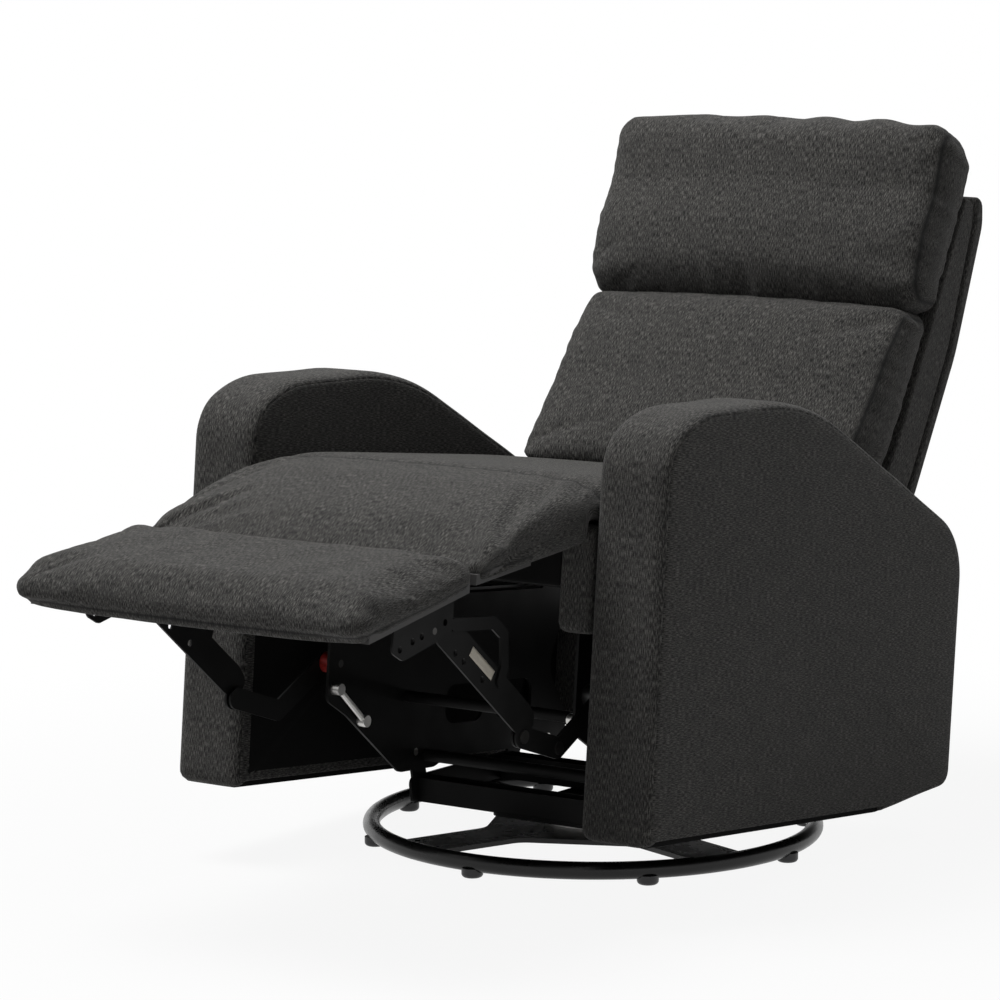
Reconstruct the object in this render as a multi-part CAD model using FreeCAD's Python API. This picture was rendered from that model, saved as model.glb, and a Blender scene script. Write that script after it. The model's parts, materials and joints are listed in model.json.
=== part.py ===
import FreeCAD, Part
import math
import os

# Glider nursery chair: a manual swivel glider recliner, shown with its footrest out.
# Millimetres. Origin: on the floor, on the swivel axis. +Z up, the chair faces -Y.
#
# Three sets of axes are used:
#   world axes    x, y, z    base and turntable
#   body axes     x, u, w    origin at the lower front corner of the arms, tipped back by PITCH
#   back axes     x, v, s    origin at the recline pivot, leaned back by LEAN, s along the back

V = FreeCAD.Vector
PARTS = "parts"

# ---- overall ----
WIDTH = 700.0            # over both arms
ARM_DEPTH = 708.0        # front to back of an arm
ARM_HEIGHT = 517.0       # underside to the high point of an arm
ARM_WIDTH = 96.0
FRONT_Y = -406.0         # lower front corner of the arms
BOTTOM_Z = 98.5
PITCH = 5.3              # degrees the body is tipped back
LEAN = 19.0              # degrees the back leans from the body's upright
GAP = 0.3                # between soft or curved faces of different bodies
PIN_PLAY = 0.05          # radial running clearance of a pin
SEAT_CLEAR = 4.0         # between the seat and each arm
PLATE_CLEAR = 4.0        # between steel plates that pass each other
SEAT_HALF = WIDTH / 2 - ARM_WIDTH - SEAT_CLEAR

# ---- arms ----
BAND = 20.0              # depth of the padded front and top band
PANEL = 12.0             # thickness of the padded side panels
ARM_BRACKET_U = (345.0, 485.0)   # front edges of the brackets that carry the arms
ARM_BRACKET_WIDTH = 60.0
ARM_BRACKET_W = (180.0, 228.0)
APRON_THICK = 20.0

# ---- base ----
RING_RADIUS = 283.0      # centre line of the floor ring
RING_TUBE = 11.0         # tube radius
GLIDE_HEIGHT = 7.0       # underside of the ring tube above the floor
GLIDE_RADIUS = 13.5
GLIDE_COUNT = 8
CROSS_WIDTH = 75.0
CROSS_THICK = 6.0
CROSS_HUB = 140.0        # the cross widens to its hub from this far out
CROSS_FILLET = 30.0
CROSS_TURN = 70.0        # direction of one cross arm, degrees from +X
RACE_RADIUS = 62.0
RACE_THICK = 4.0
BALL_RADIUS = 4.0
BALL_COUNT = 16
BALL_CIRCLE = 48.0
BOLT_RADIUS = 8.0

# ---- turntable and glide ----
TABLE_SIZE = 172.0
TABLE_THICK = 4.0
CHANNEL_HEIGHT = 31.0
CHANNEL_WIDTH = 30.0
CHANNEL_WALL = 3.0
CHANNEL_Y = 92.0
PLATE = 4.0              # thickness of the mechanism, turntable side and glide plates
LINK_PLATE = 3.0         # thickness of the footrest links
MECH_X = SEAT_HALF - 68                      # inner face of the mechanism plates
GLIDE_X = MECH_X + PLATE + PLATE_CLEAR       # inner face of the glide links
SIDE_X = GLIDE_X + PLATE + PLATE_CLEAR       # inner face of the turntable side plates
GLIDE_LENGTH = 105.0     # pivot to pivot
GLIDE_FRONT = (270.0, 36.0)      # lower glide pivots, body axes
GLIDE_SPACING = 300.0
PIN = 5.0                # pin radius
EAR = 14.0               # radius of the metal around a pin

# ---- seat ----
RAIL_WIDTH = 45.0
RAIL_OUTER = SEAT_HALF - 1
RAIL_INNER = RAIL_OUTER - RAIL_WIDTH
RAIL_BOTTOM = 240.0
RAIL_TOP = 364.0
RAIL_FRONT = 5.0
RAIL_REAR = 525.0
RAIL_THICK = 22.0
FLANGE_W = 232.0         # underside of the mechanism plates' top flange
SPRING_COUNT = 6
SPRING_WIRE = 1.9
CUSHION_W = 369.8        # underside of the seat cushion
CUSHION_TOP = 412.0
SEAT_SLIDE = 50.0        # the seat moves back this far as the footrest closes

# ---- footrest ----
FLAP_HINGE = (-65.0, 371.0)
FLAP_CLOSE = 73.0
TIP_HINGE = (-226.0, 294.0)
TIP_CLOSE = 5.0
BOARD = 12.0
FOOT_FRONT = -415.0
LOWER_PIN = (-71.0, 121.5)       # front link to rear link
FOOT_PIN = (-265.0, 253.0)       # front link to footrest bracket
KNEE = (12.0, 102.0)             # bend of the rear link
REAR_PIVOT_RISE = 23.0           # rear link's fixed pivot above the chord's middle
REAR_LINK_X = SIDE_X + PLATE + PLATE_CLEAR
FRONT_LINK_X = REAR_LINK_X + 2 * LINK_PLATE
BRACKET_X = FRONT_LINK_X + 2 * LINK_PLATE

# ---- back ----
PIVOT = (620.0, 300.0)           # recline pivot, body axes
BACK_HALF = SEAT_HALF - 2
BACK_TOP = 538.0
SIDE_PAD = 8.0           # thickness of the padded strip outside each stile
STILE_OUTER = BACK_HALF - SIDE_PAD
STILE_INNER = STILE_OUTER - 46


# ---------------------------------------------------------------- drawing helpers

def box(x0, x1, y0, y1, z0, z1):
    return Part.makeBox(x1 - x0, y1 - y0, z1 - z0, V(x0, y0, z0))


def rod_x(x0, x1, y, z, radius):
    return Part.makeCylinder(radius, x1 - x0, V(x0, y, z), V(1, 0, 0))


def outline(points, x=0.0):
    """Closed wire in the plane at x through (a, b, r) corners, each rounded to radius r."""
    ends = []
    count = len(points)
    for i, (a, b, r) in enumerate(points):
        here = V(x, a, b)
        before = V(x, *points[i - 1][:2]) - here
        after = V(x, *points[(i + 1) % count][:2]) - here
        if r <= 0:
            ends.append((here, None, here))
            continue
        half = before.getAngle(after) / 2
        reach = r / math.tan(half)
        start = here + before.normalize() * reach
        stop = here + after.normalize() * reach
        middle = (before + after).normalize()
        ends.append((start, here + middle * (r / math.sin(half) - r), stop))
    edges = []
    for i, (start, middle, stop) in enumerate(ends):
        if middle is not None:
            edges.append(Part.Arc(start, middle, stop).toShape())
        following = ends[(i + 1) % count][0]
        if stop.distanceToPoint(following) > 1e-6:
            edges.append(Part.LineSegment(stop, following).toShape())
    return Part.Wire(Part.__sortEdges__(edges))


def slab(points, x0, x1):
    """Prism of a rounded outline, from x0 to x1."""
    corners = [p if len(p) == 3 else (p[0], p[1], 0) for p in points]
    return Part.Face(outline(corners, x0)).extrude(V(x1 - x0, 0, 0))


def strap(points, radius, x0, x1):
    """Flat bar with round ends that runs through the given (a, b) points."""
    shape = None
    for (a0, b0), (a1, b1) in zip(points, points[1:]):
        length = math.hypot(a1 - a0, b1 - b0)
        na, nb = -(b1 - b0) / length * radius, (a1 - a0) / length * radius
        run = slab([(a0 + na, b0 + nb), (a1 + na, b1 + nb), (a1 - na, b1 - nb), (a0 - na, b0 - nb)], x0, x1)
        run = run.fuse([rod_x(x0, x1, a0, b0, radius), rod_x(x0, x1, a1, b1, radius)])
        shape = run if shape is None else shape.fuse(run)
    return shape.removeSplitter()


def drill(shape, x0, x1, a, b, radius):
    return shape.cut(rod_x(x0 - 1, x1 + 1, a, b, radius))


def pin(x0, x1, a, b, radius, head, head_thick, head_at_start=True):
    """Pin along X with a flat head outside one end."""
    shank = rod_x(x0, x1, a, b, radius)
    if head_at_start:
        return shank.fuse(rod_x(x0 - head_thick, x0, a, b, head)).removeSplitter()
    return shank.fuse(rod_x(x1, x1 + head_thick, a, b, head)).removeSplitter()


def mirrored(shape):
    return shape.mirror(V(0, 0, 0), V(1, 0, 0))


def both(shape):
    """A piece and its twin on the other side."""
    return Part.makeCompound([shape, mirrored(shape)])


# ---------------------------------------------------------------- axes

def place_body(shape):
    shape = shape.copy()
    shape.rotate(V(0, 0, 0), V(1, 0, 0), -PITCH)
    shape.translate(V(0, FRONT_Y, BOTTOM_Z))
    return shape


def place_back(shape):
    shape = shape.copy()
    shape.rotate(V(0, 0, 0), V(1, 0, 0), -LEAN)
    shape.translate(V(0, PIVOT[0], PIVOT[1]))
    return place_body(shape)


def body_to_world(u, w):
    c, s = math.cos(math.radians(PITCH)), math.sin(math.radians(PITCH))
    return FRONT_Y + u * c + w * s, BOTTOM_Z - u * s + w * c


def turned(point, centre, degrees):
    a = math.radians(degrees)
    du, dw = point[0] - centre[0], point[1] - centre[1]
    return (centre[0] + du * math.cos(a) - dw * math.sin(a),
            centre[1] + du * math.sin(a) + dw * math.cos(a))


# ---------------------------------------------------------------- footrest geometry

def closed_footrest(point):
    """Where a point of the footrest goes when the footrest is folded down."""
    point = turned(point, TIP_HINGE, TIP_CLOSE)
    point = turned(point, FLAP_HINGE, FLAP_CLOSE)
    return point[0] + SEAT_SLIDE, point[1]


def link_geometry():
    """The rear link's fixed pivot is as far from its pin when open as when closed.
    Folded, the front link lies level behind the footrest."""
    length = math.dist(LOWER_PIN, FOOT_PIN)
    foot = closed_footrest(FOOT_PIN)
    lower = (foot[0] + length, foot[1])
    chord = math.dist(LOWER_PIN, lower)
    du, dw = (lower[0] - LOWER_PIN[0]) / chord, (lower[1] - LOWER_PIN[1]) / chord
    pivot = ((LOWER_PIN[0] + lower[0]) / 2 - dw * REAR_PIVOT_RISE,
             (LOWER_PIN[1] + lower[1]) / 2 + du * REAR_PIVOT_RISE)
    swing = 360 - 2 * math.degrees(math.atan2(chord / 2, -REAR_PIVOT_RISE))
    swing = 360 - swing if swing > 180 else swing
    open_angle = math.degrees(math.atan2(FOOT_PIN[1] - LOWER_PIN[1], FOOT_PIN[0] - LOWER_PIN[0]))
    return pivot, swing, 180 - open_angle - swing


REAR_PIVOT, REAR_SWING, FRONT_TURN = link_geometry()
GLIDE_LOWER = [body_to_world(GLIDE_FRONT[0] + k * GLIDE_SPACING, GLIDE_FRONT[1]) for k in (0, 1)]
GLIDE_UPPER = [(y, z + GLIDE_LENGTH) for y, z in GLIDE_LOWER]
CROSS_Z = GLIDE_HEIGHT + RING_TUBE - CROSS_THICK / 2
RACE_Z = CROSS_Z + CROSS_THICK
TABLE_Z = RACE_Z + 2 * RACE_THICK + 1.4 * BALL_RADIUS
CHANNEL_Z = TABLE_Z + TABLE_THICK


# ---------------------------------------------------------------- base

def base_ring():
    return Part.makeTorus(RING_RADIUS, RING_TUBE, V(0, 0, GLIDE_HEIGHT + RING_TUBE))


def base_cross():
    """Flat cross with a wide hub, its arms ended on the ring tube."""
    half = CROSS_WIDTH / 2
    corners = []
    for k in range(4):
        for a, b, r in ((RING_RADIUS, -half, 0), (RING_RADIUS, half, 0),
                        (CROSS_HUB, half, CROSS_FILLET), (half, CROSS_HUB, CROSS_FILLET)):
            t = math.radians(90 * k)
            corners.append((a * math.cos(t) - b * math.sin(t), a * math.sin(t) + b * math.cos(t), r))
    cross = Part.Face(outline(corners)).extrude(V(CROSS_THICK, 0, 0))
    cross.rotate(V(0, 0, 0), V(0, 1, 0), -90)
    cross.rotate(V(0, 0, 0), V(0, 0, 1), CROSS_TURN)
    cross.translate(V(0, 0, CROSS_Z - cross.BoundBox.ZMin))
    cross = cross.cut(Part.makeCylinder(BOLT_RADIUS + PIN_PLAY, 60, V(0, 0, 0)))
    out, aside, hole = RING_RADIUS - 28, 22, 3.5
    for k in range(4):
        t = math.radians(CROSS_TURN + 90 * k)
        for b in (-aside, aside):
            spot = V(out * math.cos(t) - b * math.sin(t), out * math.sin(t) + b * math.cos(t), 0)
            cross = cross.cut(Part.makeCylinder(hole, 60, spot))
    return cross.cut(base_ring())


def base_glides():
    """Plastic feet saddled under the ring tube."""
    foot = Part.makeCylinder(GLIDE_RADIUS, GLIDE_HEIGHT + 5, V(RING_RADIUS, 0, 0))
    foot = foot.makeFillet(5, [e for e in foot.Edges if e.BoundBox.ZMax < 0.01])
    foot = foot.cut(base_ring())
    feet = []
    for k in range(GLIDE_COUNT):
        one = foot.copy()
        one.rotate(V(0, 0, 0), V(0, 0, 1), CROSS_TURN + 22.5 + 360 / GLIDE_COUNT * k)
        feet.append(one)
    return Part.makeCompound(feet)


def race(z, groove_up):
    """Pressed disc with a ball groove."""
    disc = Part.makeCylinder(RACE_RADIUS, RACE_THICK, V(0, 0, z))
    disc = disc.cut(Part.makeCylinder(BOLT_RADIUS + PIN_PLAY, RACE_THICK, V(0, 0, z)))
    centre = z + RACE_THICK + 0.7 * BALL_RADIUS if groove_up else z - 0.7 * BALL_RADIUS
    return disc.cut(Part.makeTorus(BALL_CIRCLE, BALL_RADIUS + PIN_PLAY, V(0, 0, centre)))


def swivel_balls():
    z = RACE_Z + RACE_THICK + 0.7 * BALL_RADIUS
    balls = []
    for k in range(BALL_COUNT):
        t = 2 * math.pi * k / BALL_COUNT
        balls.append(Part.makeSphere(BALL_RADIUS, V(BALL_CIRCLE * math.cos(t), BALL_CIRCLE * math.sin(t), z)))
    return Part.makeCompound(balls)


def swivel_bolt():
    """Shouldered bolt up through the cross, both races and the turntable plate."""
    top = CHANNEL_Z + 9
    bolt = Part.makeCylinder(BOLT_RADIUS, top - CROSS_Z + 1, V(0, 0, CROSS_Z - 1))
    head = Part.makeCylinder(16, 5, V(0, 0, CROSS_Z - 6))
    nut = Part.makeCylinder(14, 8, V(0, 0, CHANNEL_Z + GAP))
    return bolt.fuse([head, nut]).removeSplitter()


# ---------------------------------------------------------------- turntable

def turntable_plate():
    half = TABLE_SIZE / 2
    plate = box(-half, half, -half - 22, half + 22, TABLE_Z, CHANNEL_Z)
    plate = plate.makeFillet(14, [e for e in plate.Edges if e.BoundBox.ZLength > TABLE_THICK / 2])
    return plate.cut(Part.makeCylinder(BOLT_RADIUS + PIN_PLAY, 20, V(0, 0, TABLE_Z - 5)))


def turntable_channel(side):
    """Open-topped channel across the turntable."""
    y0, y1 = side * CHANNEL_Y - CHANNEL_WIDTH / 2, side * CHANNEL_Y + CHANNEL_WIDTH / 2
    z1 = CHANNEL_Z + CHANNEL_HEIGHT
    outer = box(-SIDE_X, SIDE_X, y0, y1, CHANNEL_Z, z1)
    inner = box(-SIDE_X - 1, SIDE_X + 1, y0 + CHANNEL_WALL, y1 - CHANNEL_WALL, CHANNEL_Z + CHANNEL_WALL, z1 + 1)
    return outer.cut(inner)


def turntable_side():
    """Side plate: a low bar over both channels with an ear up to each upper glide pivot."""
    x0, x1 = SIDE_X, SIDE_X + PLATE
    low = CHANNEL_Z
    (yf, zf), (yr, zr) = GLIDE_UPPER
    bar = slab([(-118, low, 4), (118, low, 4), (124, low + 34, 10), (-124, low + 34, 10)], x0, x1)
    front = strap([(-100, low + 17), (yf, zf)], EAR, x0, x1)
    rear = strap([(100, low + 17), (yr, zr)], EAR, x0, x1)
    plate = bar.fuse([front, rear]).removeSplitter()
    for y, z in GLIDE_UPPER:
        plate = drill(plate, x0, x1, y, z, PIN)
    return plate


def glide_upper_pins():
    pins = []
    for y, z in GLIDE_UPPER:
        pins.append(pin(GLIDE_X - 0.4, SIDE_X + PLATE, y, z, PIN, 9, 2.4))
        pins.append(mirrored(pins[-1]))
    return Part.makeCompound(pins)


def glide_link(end, loose):
    """Flat hanger from an upper pivot to a lower pivot, one on each side."""
    x0, x1 = GLIDE_X, GLIDE_X + PLATE
    (y0, z0), (y1, z1) = GLIDE_LOWER[end], GLIDE_UPPER[end]
    link = strap([(y0, z0), (y1, z1)], EAR - 1, x0, x1)
    link = drill(link, x0, x1, y1, z1, PIN + PIN_PLAY)
    return drill(link, x0, x1, y0, z0, PIN + (0.5 if loose else PIN_PLAY))


# ---------------------------------------------------------------- body mechanism

def mechanism_plate():
    """Long steel side plate with a flange on top for the seat and an upright for the back."""
    x0, x1 = MECH_X, MECH_X + PLATE
    front, rear, top = GLIDE_FRONT[0], GLIDE_FRONT[0] + GLIDE_SPACING, FLANGE_W + PLATE
    web = slab([(78, 112, 12), (118, 92, 20), (front - 34, 12, 18), (front + 42, 14, 30), (front + 70, 26, 30),
                (rear - 25, 26, 10), (rear - 17, 20, 6), (rear + 30, 20, 16), (rear + 42, 60, 30),
                (560, 130, 40), (590, 200, 20), (590, top, 0), (78, top, 0)], x0, x1)
    windows = [slab([(u, 68, 18), (u + 84, 68, 18), (u + 84, 118, 18), (u, 118, 18)], x0 - 1, x1 + 1)
               for u in (330, 440)]
    upright = slab([(500, 200), (592, 200), (PIVOT[0] + 15, PIVOT[1] - 5), (PIVOT[0] - 15, PIVOT[1] + 5)], x0, x1)
    upright = upright.fuse(rod_x(x0, x1, PIVOT[0], PIVOT[1], 16))
    flange = box(x1, x1 + 50, 90, 560, FLANGE_W, FLANGE_W + PLATE)
    plate = web.cut(windows).fuse([upright, flange]).removeSplitter()
    for u in (front, rear):
        plate = drill(plate, x0, x1, u, GLIDE_FRONT[1], PIN)
    plate = drill(plate, x0, x1, PIVOT[0], PIVOT[1], PIN)
    return drill(plate, x0, x1, REAR_PIVOT[0], REAR_PIVOT[1], PIN)


def glide_lower_pins():
    pins = []
    for k in (0, 1):
        u = GLIDE_FRONT[0] + k * GLIDE_SPACING
        pins.append(pin(MECH_X, GLIDE_X + PLATE + 0.4, u, GLIDE_FRONT[1], PIN, 9, 2.4, False))
        pins.append(mirrored(pins[-1]))
    return Part.makeCompound(pins)


def cross_tube(u, w, radius, wall):
    tube = rod_x(-MECH_X, MECH_X, u, w, radius)
    return tube.cut(rod_x(-MECH_X, MECH_X, u, w, radius - wall))


def arm_bracket(u):
    """Steel angle from the mechanism plate out to the arm, with two bolts in each leg."""
    x0, x1 = MECH_X + PLATE, WIDTH / 2 - ARM_WIDTH
    rear = u + ARM_BRACKET_WIDTH
    low, high = ARM_BRACKET_W
    foot = box(x0, x0 + PLATE, u, rear, low, high)
    shelf = box(x0, x1, u, rear, high - PLATE, high)
    cheek = box(x1 - PLATE, x1, u, rear, low, high)
    return foot.fuse([shelf, cheek]).removeSplitter()


def arm_bolts():
    """Cap screws through the arm brackets into the arms."""
    x = WIDTH / 2 - ARM_WIDTH - PLATE
    bolts = []
    for u in ARM_BRACKET_U:
        for du in (ARM_BRACKET_WIDTH / 4, ARM_BRACKET_WIDTH * 3 / 4):
            bolts.append(rod_x(x - 5, x, u + du, ARM_BRACKET_W[0] + 18, 7))
            bolts.append(mirrored(bolts[-1]))
    return Part.makeCompound(bolts)


def drive_rod():
    """Bright rod beside the mechanism plate, from the front lug to the torsion tube."""
    start, stop = V(MECH_X - 7, 90, 127), V(MECH_X - 7, 147, 84)
    run = stop - start
    rod = Part.makeCylinder(4, run.Length, start, run)
    lugs = [rod_x(MECH_X - 12, MECH_X, p.y, p.z, 7.5) for p in (start, stop)]
    return rod.fuse(lugs).removeSplitter()


def runner():
    """Nylon strip on the flange that the seat rail slides along."""
    return box(RAIL_INNER + 2, MECH_X + PLATE + 48, 100, 550, FLANGE_W + PLATE, RAIL_BOTTOM - GAP)


# ---------------------------------------------------------------- arms

def arm_outline(x):
    """Side view of an arm: upright front, rounded shoulder, top that falls away to the rear."""
    high = ARM_HEIGHT
    return outline([(0, 0, 8), (0, high - 53, 62), (68, high - 16, 150), (302, high, 400),
                    (ARM_DEPTH - 6, high - 168, 30), (ARM_DEPTH, 22, 18), (540, 0, 60)], x)


def arm_prism(x0, x1, inset=0.0):
    wire = arm_outline(x0)
    face = Part.Face(wire.makeOffset2D(-inset)) if inset else Part.Face(wire)
    return face.extrude(V(x1 - x0, 0, 0))


def arm_parts():
    """Core, front-and-top band, outer panel and inner panel of the right arm."""
    x0, x1 = WIDTH / 2 - ARM_WIDTH, WIDTH / 2
    full = arm_prism(x0 + PANEL, x1 - PANEL)
    band = full.cut(arm_prism(x0, x1, BAND)).cut(box(x0, x1, -50, ARM_DEPTH + 50, -50, BAND))
    return {"core": full.cut(band), "band": band,
            "outer_panel": arm_prism(x1 - PANEL, x1), "inner_panel": arm_prism(x0, x0 + PANEL)}


def rear_apron():
    """Padded board that ties the arms together low at the rear."""
    reach = WIDTH / 2 - ARM_WIDTH
    u1 = ARM_DEPTH - 6
    u0 = u1 - APRON_THICK
    return slab([(u0, 40, 6), (u1, 40, 6), (u1, 205, 6), (u0, 205, 6)], -reach, reach)


# ---------------------------------------------------------------- seat

def seat_rail():
    return slab([(RAIL_FRONT, RAIL_BOTTOM, 10), (RAIL_REAR, RAIL_BOTTOM, 10),
                 (RAIL_REAR, RAIL_TOP, 0), (RAIL_FRONT, RAIL_TOP, 0)], RAIL_INNER, RAIL_OUTER)


def seat_front_rail():
    """Front rail with a ledge that carries the cushion's front edge."""
    rail = box(-RAIL_INNER, RAIL_INNER, RAIL_FRONT, RAIL_FRONT + RAIL_THICK, 292, RAIL_TOP)
    ledge = box(-RAIL_INNER, RAIL_INNER, -32, RAIL_FRONT, RAIL_TOP - 14, RAIL_TOP)
    return rail.fuse(ledge).removeSplitter()


def seat_rear_rail():
    return box(-RAIL_INNER, RAIL_INNER, RAIL_REAR - RAIL_THICK, RAIL_REAR, 300, RAIL_TOP)


def spring_path(x):
    """Serpentine wire from front rail to rear rail: straight cross runs joined by half turns."""
    pitch, half, z = 24.0, 19.0, RAIL_TOP + SPRING_WIRE
    u0, turns = RAIL_FRONT + 11, 20
    edges = []
    for k in range(turns):
        side = 1 if k % 2 == 0 else -1
        u = u0 + k * pitch
        start, stop = V(x - side * half, u, z), V(x + side * half, u, z)
        edges.append(Part.LineSegment(start, stop).toShape())
        if k < turns - 1:
            bow = V(x + side * (half + pitch / 2), u + pitch / 2, z)
            edges.append(Part.Arc(stop, bow, V(x + side * half, u + pitch, z)).toShape())
    return Part.Wire(edges)


def seat_springs():
    springs = []
    for k in range(SPRING_COUNT):
        x = (k - (SPRING_COUNT - 1) / 2) * 66.0
        path = spring_path(x)
        start = path.Edges[0].Vertexes[0].Point
        ring = Part.Wire(Part.makeCircle(SPRING_WIRE, start, V(1, 0, 0)))
        springs.append(path.makePipeShell([ring], True, False))
    return Part.makeCompound(springs)


def spring_clips():
    clips = []
    top = RAIL_TOP + 2 * SPRING_WIRE
    for k in range(SPRING_COUNT):
        x = (k - (SPRING_COUNT - 1) / 2) * 66.0
        for u in (RAIL_FRONT + 4, RAIL_REAR - 22):
            clip = box(x - 7, x + 7, u, u + 18, RAIL_TOP, top + 1.5)
            hollow = box(x - 8, x + 8, u + 3, u + 15, RAIL_TOP, top + 0.2)
            clips.append(clip.cut(hollow))
    return Part.makeCompound(clips)


def seat_cushion():
    top = CUSHION_TOP
    return slab([(-38, CUSHION_W - 4, 4), (-20, CUSHION_W, 0), (558, CUSHION_W, 4), (558, top - 29, 5),
                 (520, top - 17, 60), (420, top - 10, 200), (20, top, 60), (-66, top - 19, 5)],
                -SEAT_HALF, SEAT_HALF)


def seat_dust_cover():
    return box(-RAIL_INNER, RAIL_INNER, RAIL_FRONT + RAIL_THICK, RAIL_REAR - RAIL_THICK, 300, 302)


# ---------------------------------------------------------------- flap and footrest

def flap_under(u):
    """Height of the flap's underside."""
    return 303 + (u + 227) * 0.18


def foot_under(u):
    """Height of the footrest's underside."""
    return 245 + (u + 422) * 0.27


def flap_board():
    a, b = -114.0, -220.0
    return slab([(a, flap_under(a)), (b, flap_under(b)), (b, flap_under(b) + BOARD), (a, flap_under(a) + BOARD)],
                -SEAT_HALF + 8, SEAT_HALF - 8)


def flap_pad():
    a, b = -106.0, -223.0
    return slab([(a, flap_under(a) + BOARD, 3), (b, flap_under(b) + BOARD, 2), (b, 330, 5), (-190, 357, 60),
                 (-120, 382, 60), (-69, 392, 4), (-98, 352, 4)], -SEAT_HALF, SEAT_HALF)


def footrest_board():
    a, b = -232.0, FOOT_FRONT
    return slab([(a, foot_under(a)), (b, foot_under(b)), (b, foot_under(b) + BOARD), (a, foot_under(a) + BOARD)],
                -SEAT_HALF + 8, SEAT_HALF - 8)


def footrest_pad():
    a, b = -229.0, FOOT_FRONT
    return slab([(a, foot_under(a) + BOARD, 2), (b, foot_under(b) + BOARD, 0), (b, foot_under(b), 0),
                 (b - 18, foot_under(b) - 2, 8), (b - 36, 272, 22), (b + 2, 303, 30), (-250, 336, 12),
                 (a, 330, 4)], -SEAT_HALF, SEAT_HALF)


def flap_hinge_leaf():
    """Steel arm from the flap board up to the hinge pin."""
    leaf = strap([FLAP_HINGE, (-100, 318), (-112, flap_under(-112) - 8)], 7, 151, 154)
    plate = slab([(-112, flap_under(-112)), (-200, flap_under(-200)),
                  (-200, flap_under(-200) - 3), (-112, flap_under(-112) - 3)], 140, 154)
    leaf = leaf.fuse(plate).removeSplitter()
    return drill(leaf, 151, 154, FLAP_HINGE[0], FLAP_HINGE[1], 3 + PIN_PLAY)


def seat_hinge_leaf():
    """Steel arm from the seat's front ledge down to the hinge pin."""
    arm = strap([FLAP_HINGE, (-52, RAIL_TOP - 21), (-22, RAIL_TOP - 22)], 7, 147, 150)
    plate = box(136, 150, -31, 4, RAIL_TOP - 17, RAIL_TOP - 14)
    leaf = arm.fuse(plate).removeSplitter()
    return leaf.fuse(pin(147, 155, FLAP_HINGE[0], FLAP_HINGE[1], 3, 5, 2)).removeSplitter()


def tip_leaf(x0, x1, u, under, hole):
    """Half of a butt hinge under a board, with its knuckle on the hinge line."""
    leaf = slab([(TIP_HINGE[0], TIP_HINGE[1] - 1.5), (u, under - 2.5), (u, under), (TIP_HINGE[0], TIP_HINGE[1] + 1.5)],
                x0, x1)
    leaf = leaf.fuse(rod_x(x0, x1, TIP_HINGE[0], TIP_HINGE[1], 4)).removeSplitter()
    return drill(leaf, x0, x1, TIP_HINGE[0], TIP_HINGE[1], hole)


def footrest_bracket():
    """Steel angle screwed under the footrest board, with a rounded lug at the front."""
    x0, x1 = BRACKET_X, BRACKET_X + LINK_PLATE
    front, rear = -340.0, -231.0
    web = slab([(front, foot_under(front), 0), (front - 4, 232, 9), (-322, 222, 9), (-262, 240, 10), (rear, 252, 8),
                (rear, foot_under(rear), 0)], x0, x1)
    flange = slab([(front, foot_under(front)), (rear, foot_under(rear)), (rear, foot_under(rear) - LINK_PLATE),
                   (front, foot_under(front) - LINK_PLATE)], x0 - 26, x0)
    bracket = web.fuse(flange).removeSplitter()
    for u, w in ((-329, 235), (-306, 243), (-289, 248), (-246, 262)):
        bracket = drill(bracket, x0, x1, u, w, 4)
    return drill(bracket, x0, x1, FOOT_PIN[0], FOOT_PIN[1], PIN - 1)


def front_link():
    """Wide pressed link from the footrest bracket to the rear link, with both pins near its lower edge."""
    x0, x1 = FRONT_LINK_X, FRONT_LINK_X + LINK_PLATE
    du, dw = LOWER_PIN[0] - FOOT_PIN[0], LOWER_PIN[1] - FOOT_PIN[1]
    length = math.hypot(du, dw)
    du, dw = du / length, dw / length

    def along(t, n):
        """Point t along the line of the pins and n above it."""
        return FOOT_PIN[0] + t * du - n * dw, FOOT_PIN[1] + t * dw + n * du

    corners = [(-9, 8, 8), (22, -4, 20), (length - 20, -4, 8), (length + 8, 0, 8), (length + 8, 30, 13),
               (length - 14, 36, 20), (14, 36, 16)]
    link = slab([(*along(t, n), r) for t, n, r in corners], x0, x1)
    link = link.fuse([rod_x(x0, x1, *FOOT_PIN, 13), rod_x(x0, x1, *LOWER_PIN, 14)]).removeSplitter()
    for spot in (FOOT_PIN, LOWER_PIN):
        link = drill(link, x0, x1, *spot, PIN - 1 + PIN_PLAY)
    for t, n in ((57, 5), (77, 6), (121, 9)):
        link = drill(link, x0, x1, *along(t, n), 4)
    return link


def rear_link():
    """Dog-leg link from the fixed pivot, round its knee, to the front link."""
    x0, x1 = REAR_LINK_X, REAR_LINK_X + LINK_PLATE
    link = strap([REAR_PIVOT, KNEE, LOWER_PIN], 13, x0, x1)
    return drill(link, x0, x1, REAR_PIVOT[0], REAR_PIVOT[1], PIN + PIN_PLAY)


def rear_link_pins():
    """Pins on the rear links that carry the front links, and the knee rivets."""
    face = REAR_LINK_X + LINK_PLATE
    lower = pin(face, FRONT_LINK_X + LINK_PLATE + 0.3, LOWER_PIN[0], LOWER_PIN[1], PIN - 1, 8, 2.5, False)
    knee = rod_x(face, face + 2.2, KNEE[0], KNEE[1], 8)
    return Part.makeCompound([both(lower), both(knee)])


def front_strap():
    """Bent flat bar riveted to the middle of the front link and rising to the flap."""
    x0, x1 = FRONT_LINK_X + LINK_PLATE, FRONT_LINK_X + 2 * LINK_PLATE
    return strap([(-222, 258), (-146, 257), (-124, 243), (-120, 205), (-126, 189)], 7.5, x0, x1)


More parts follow.
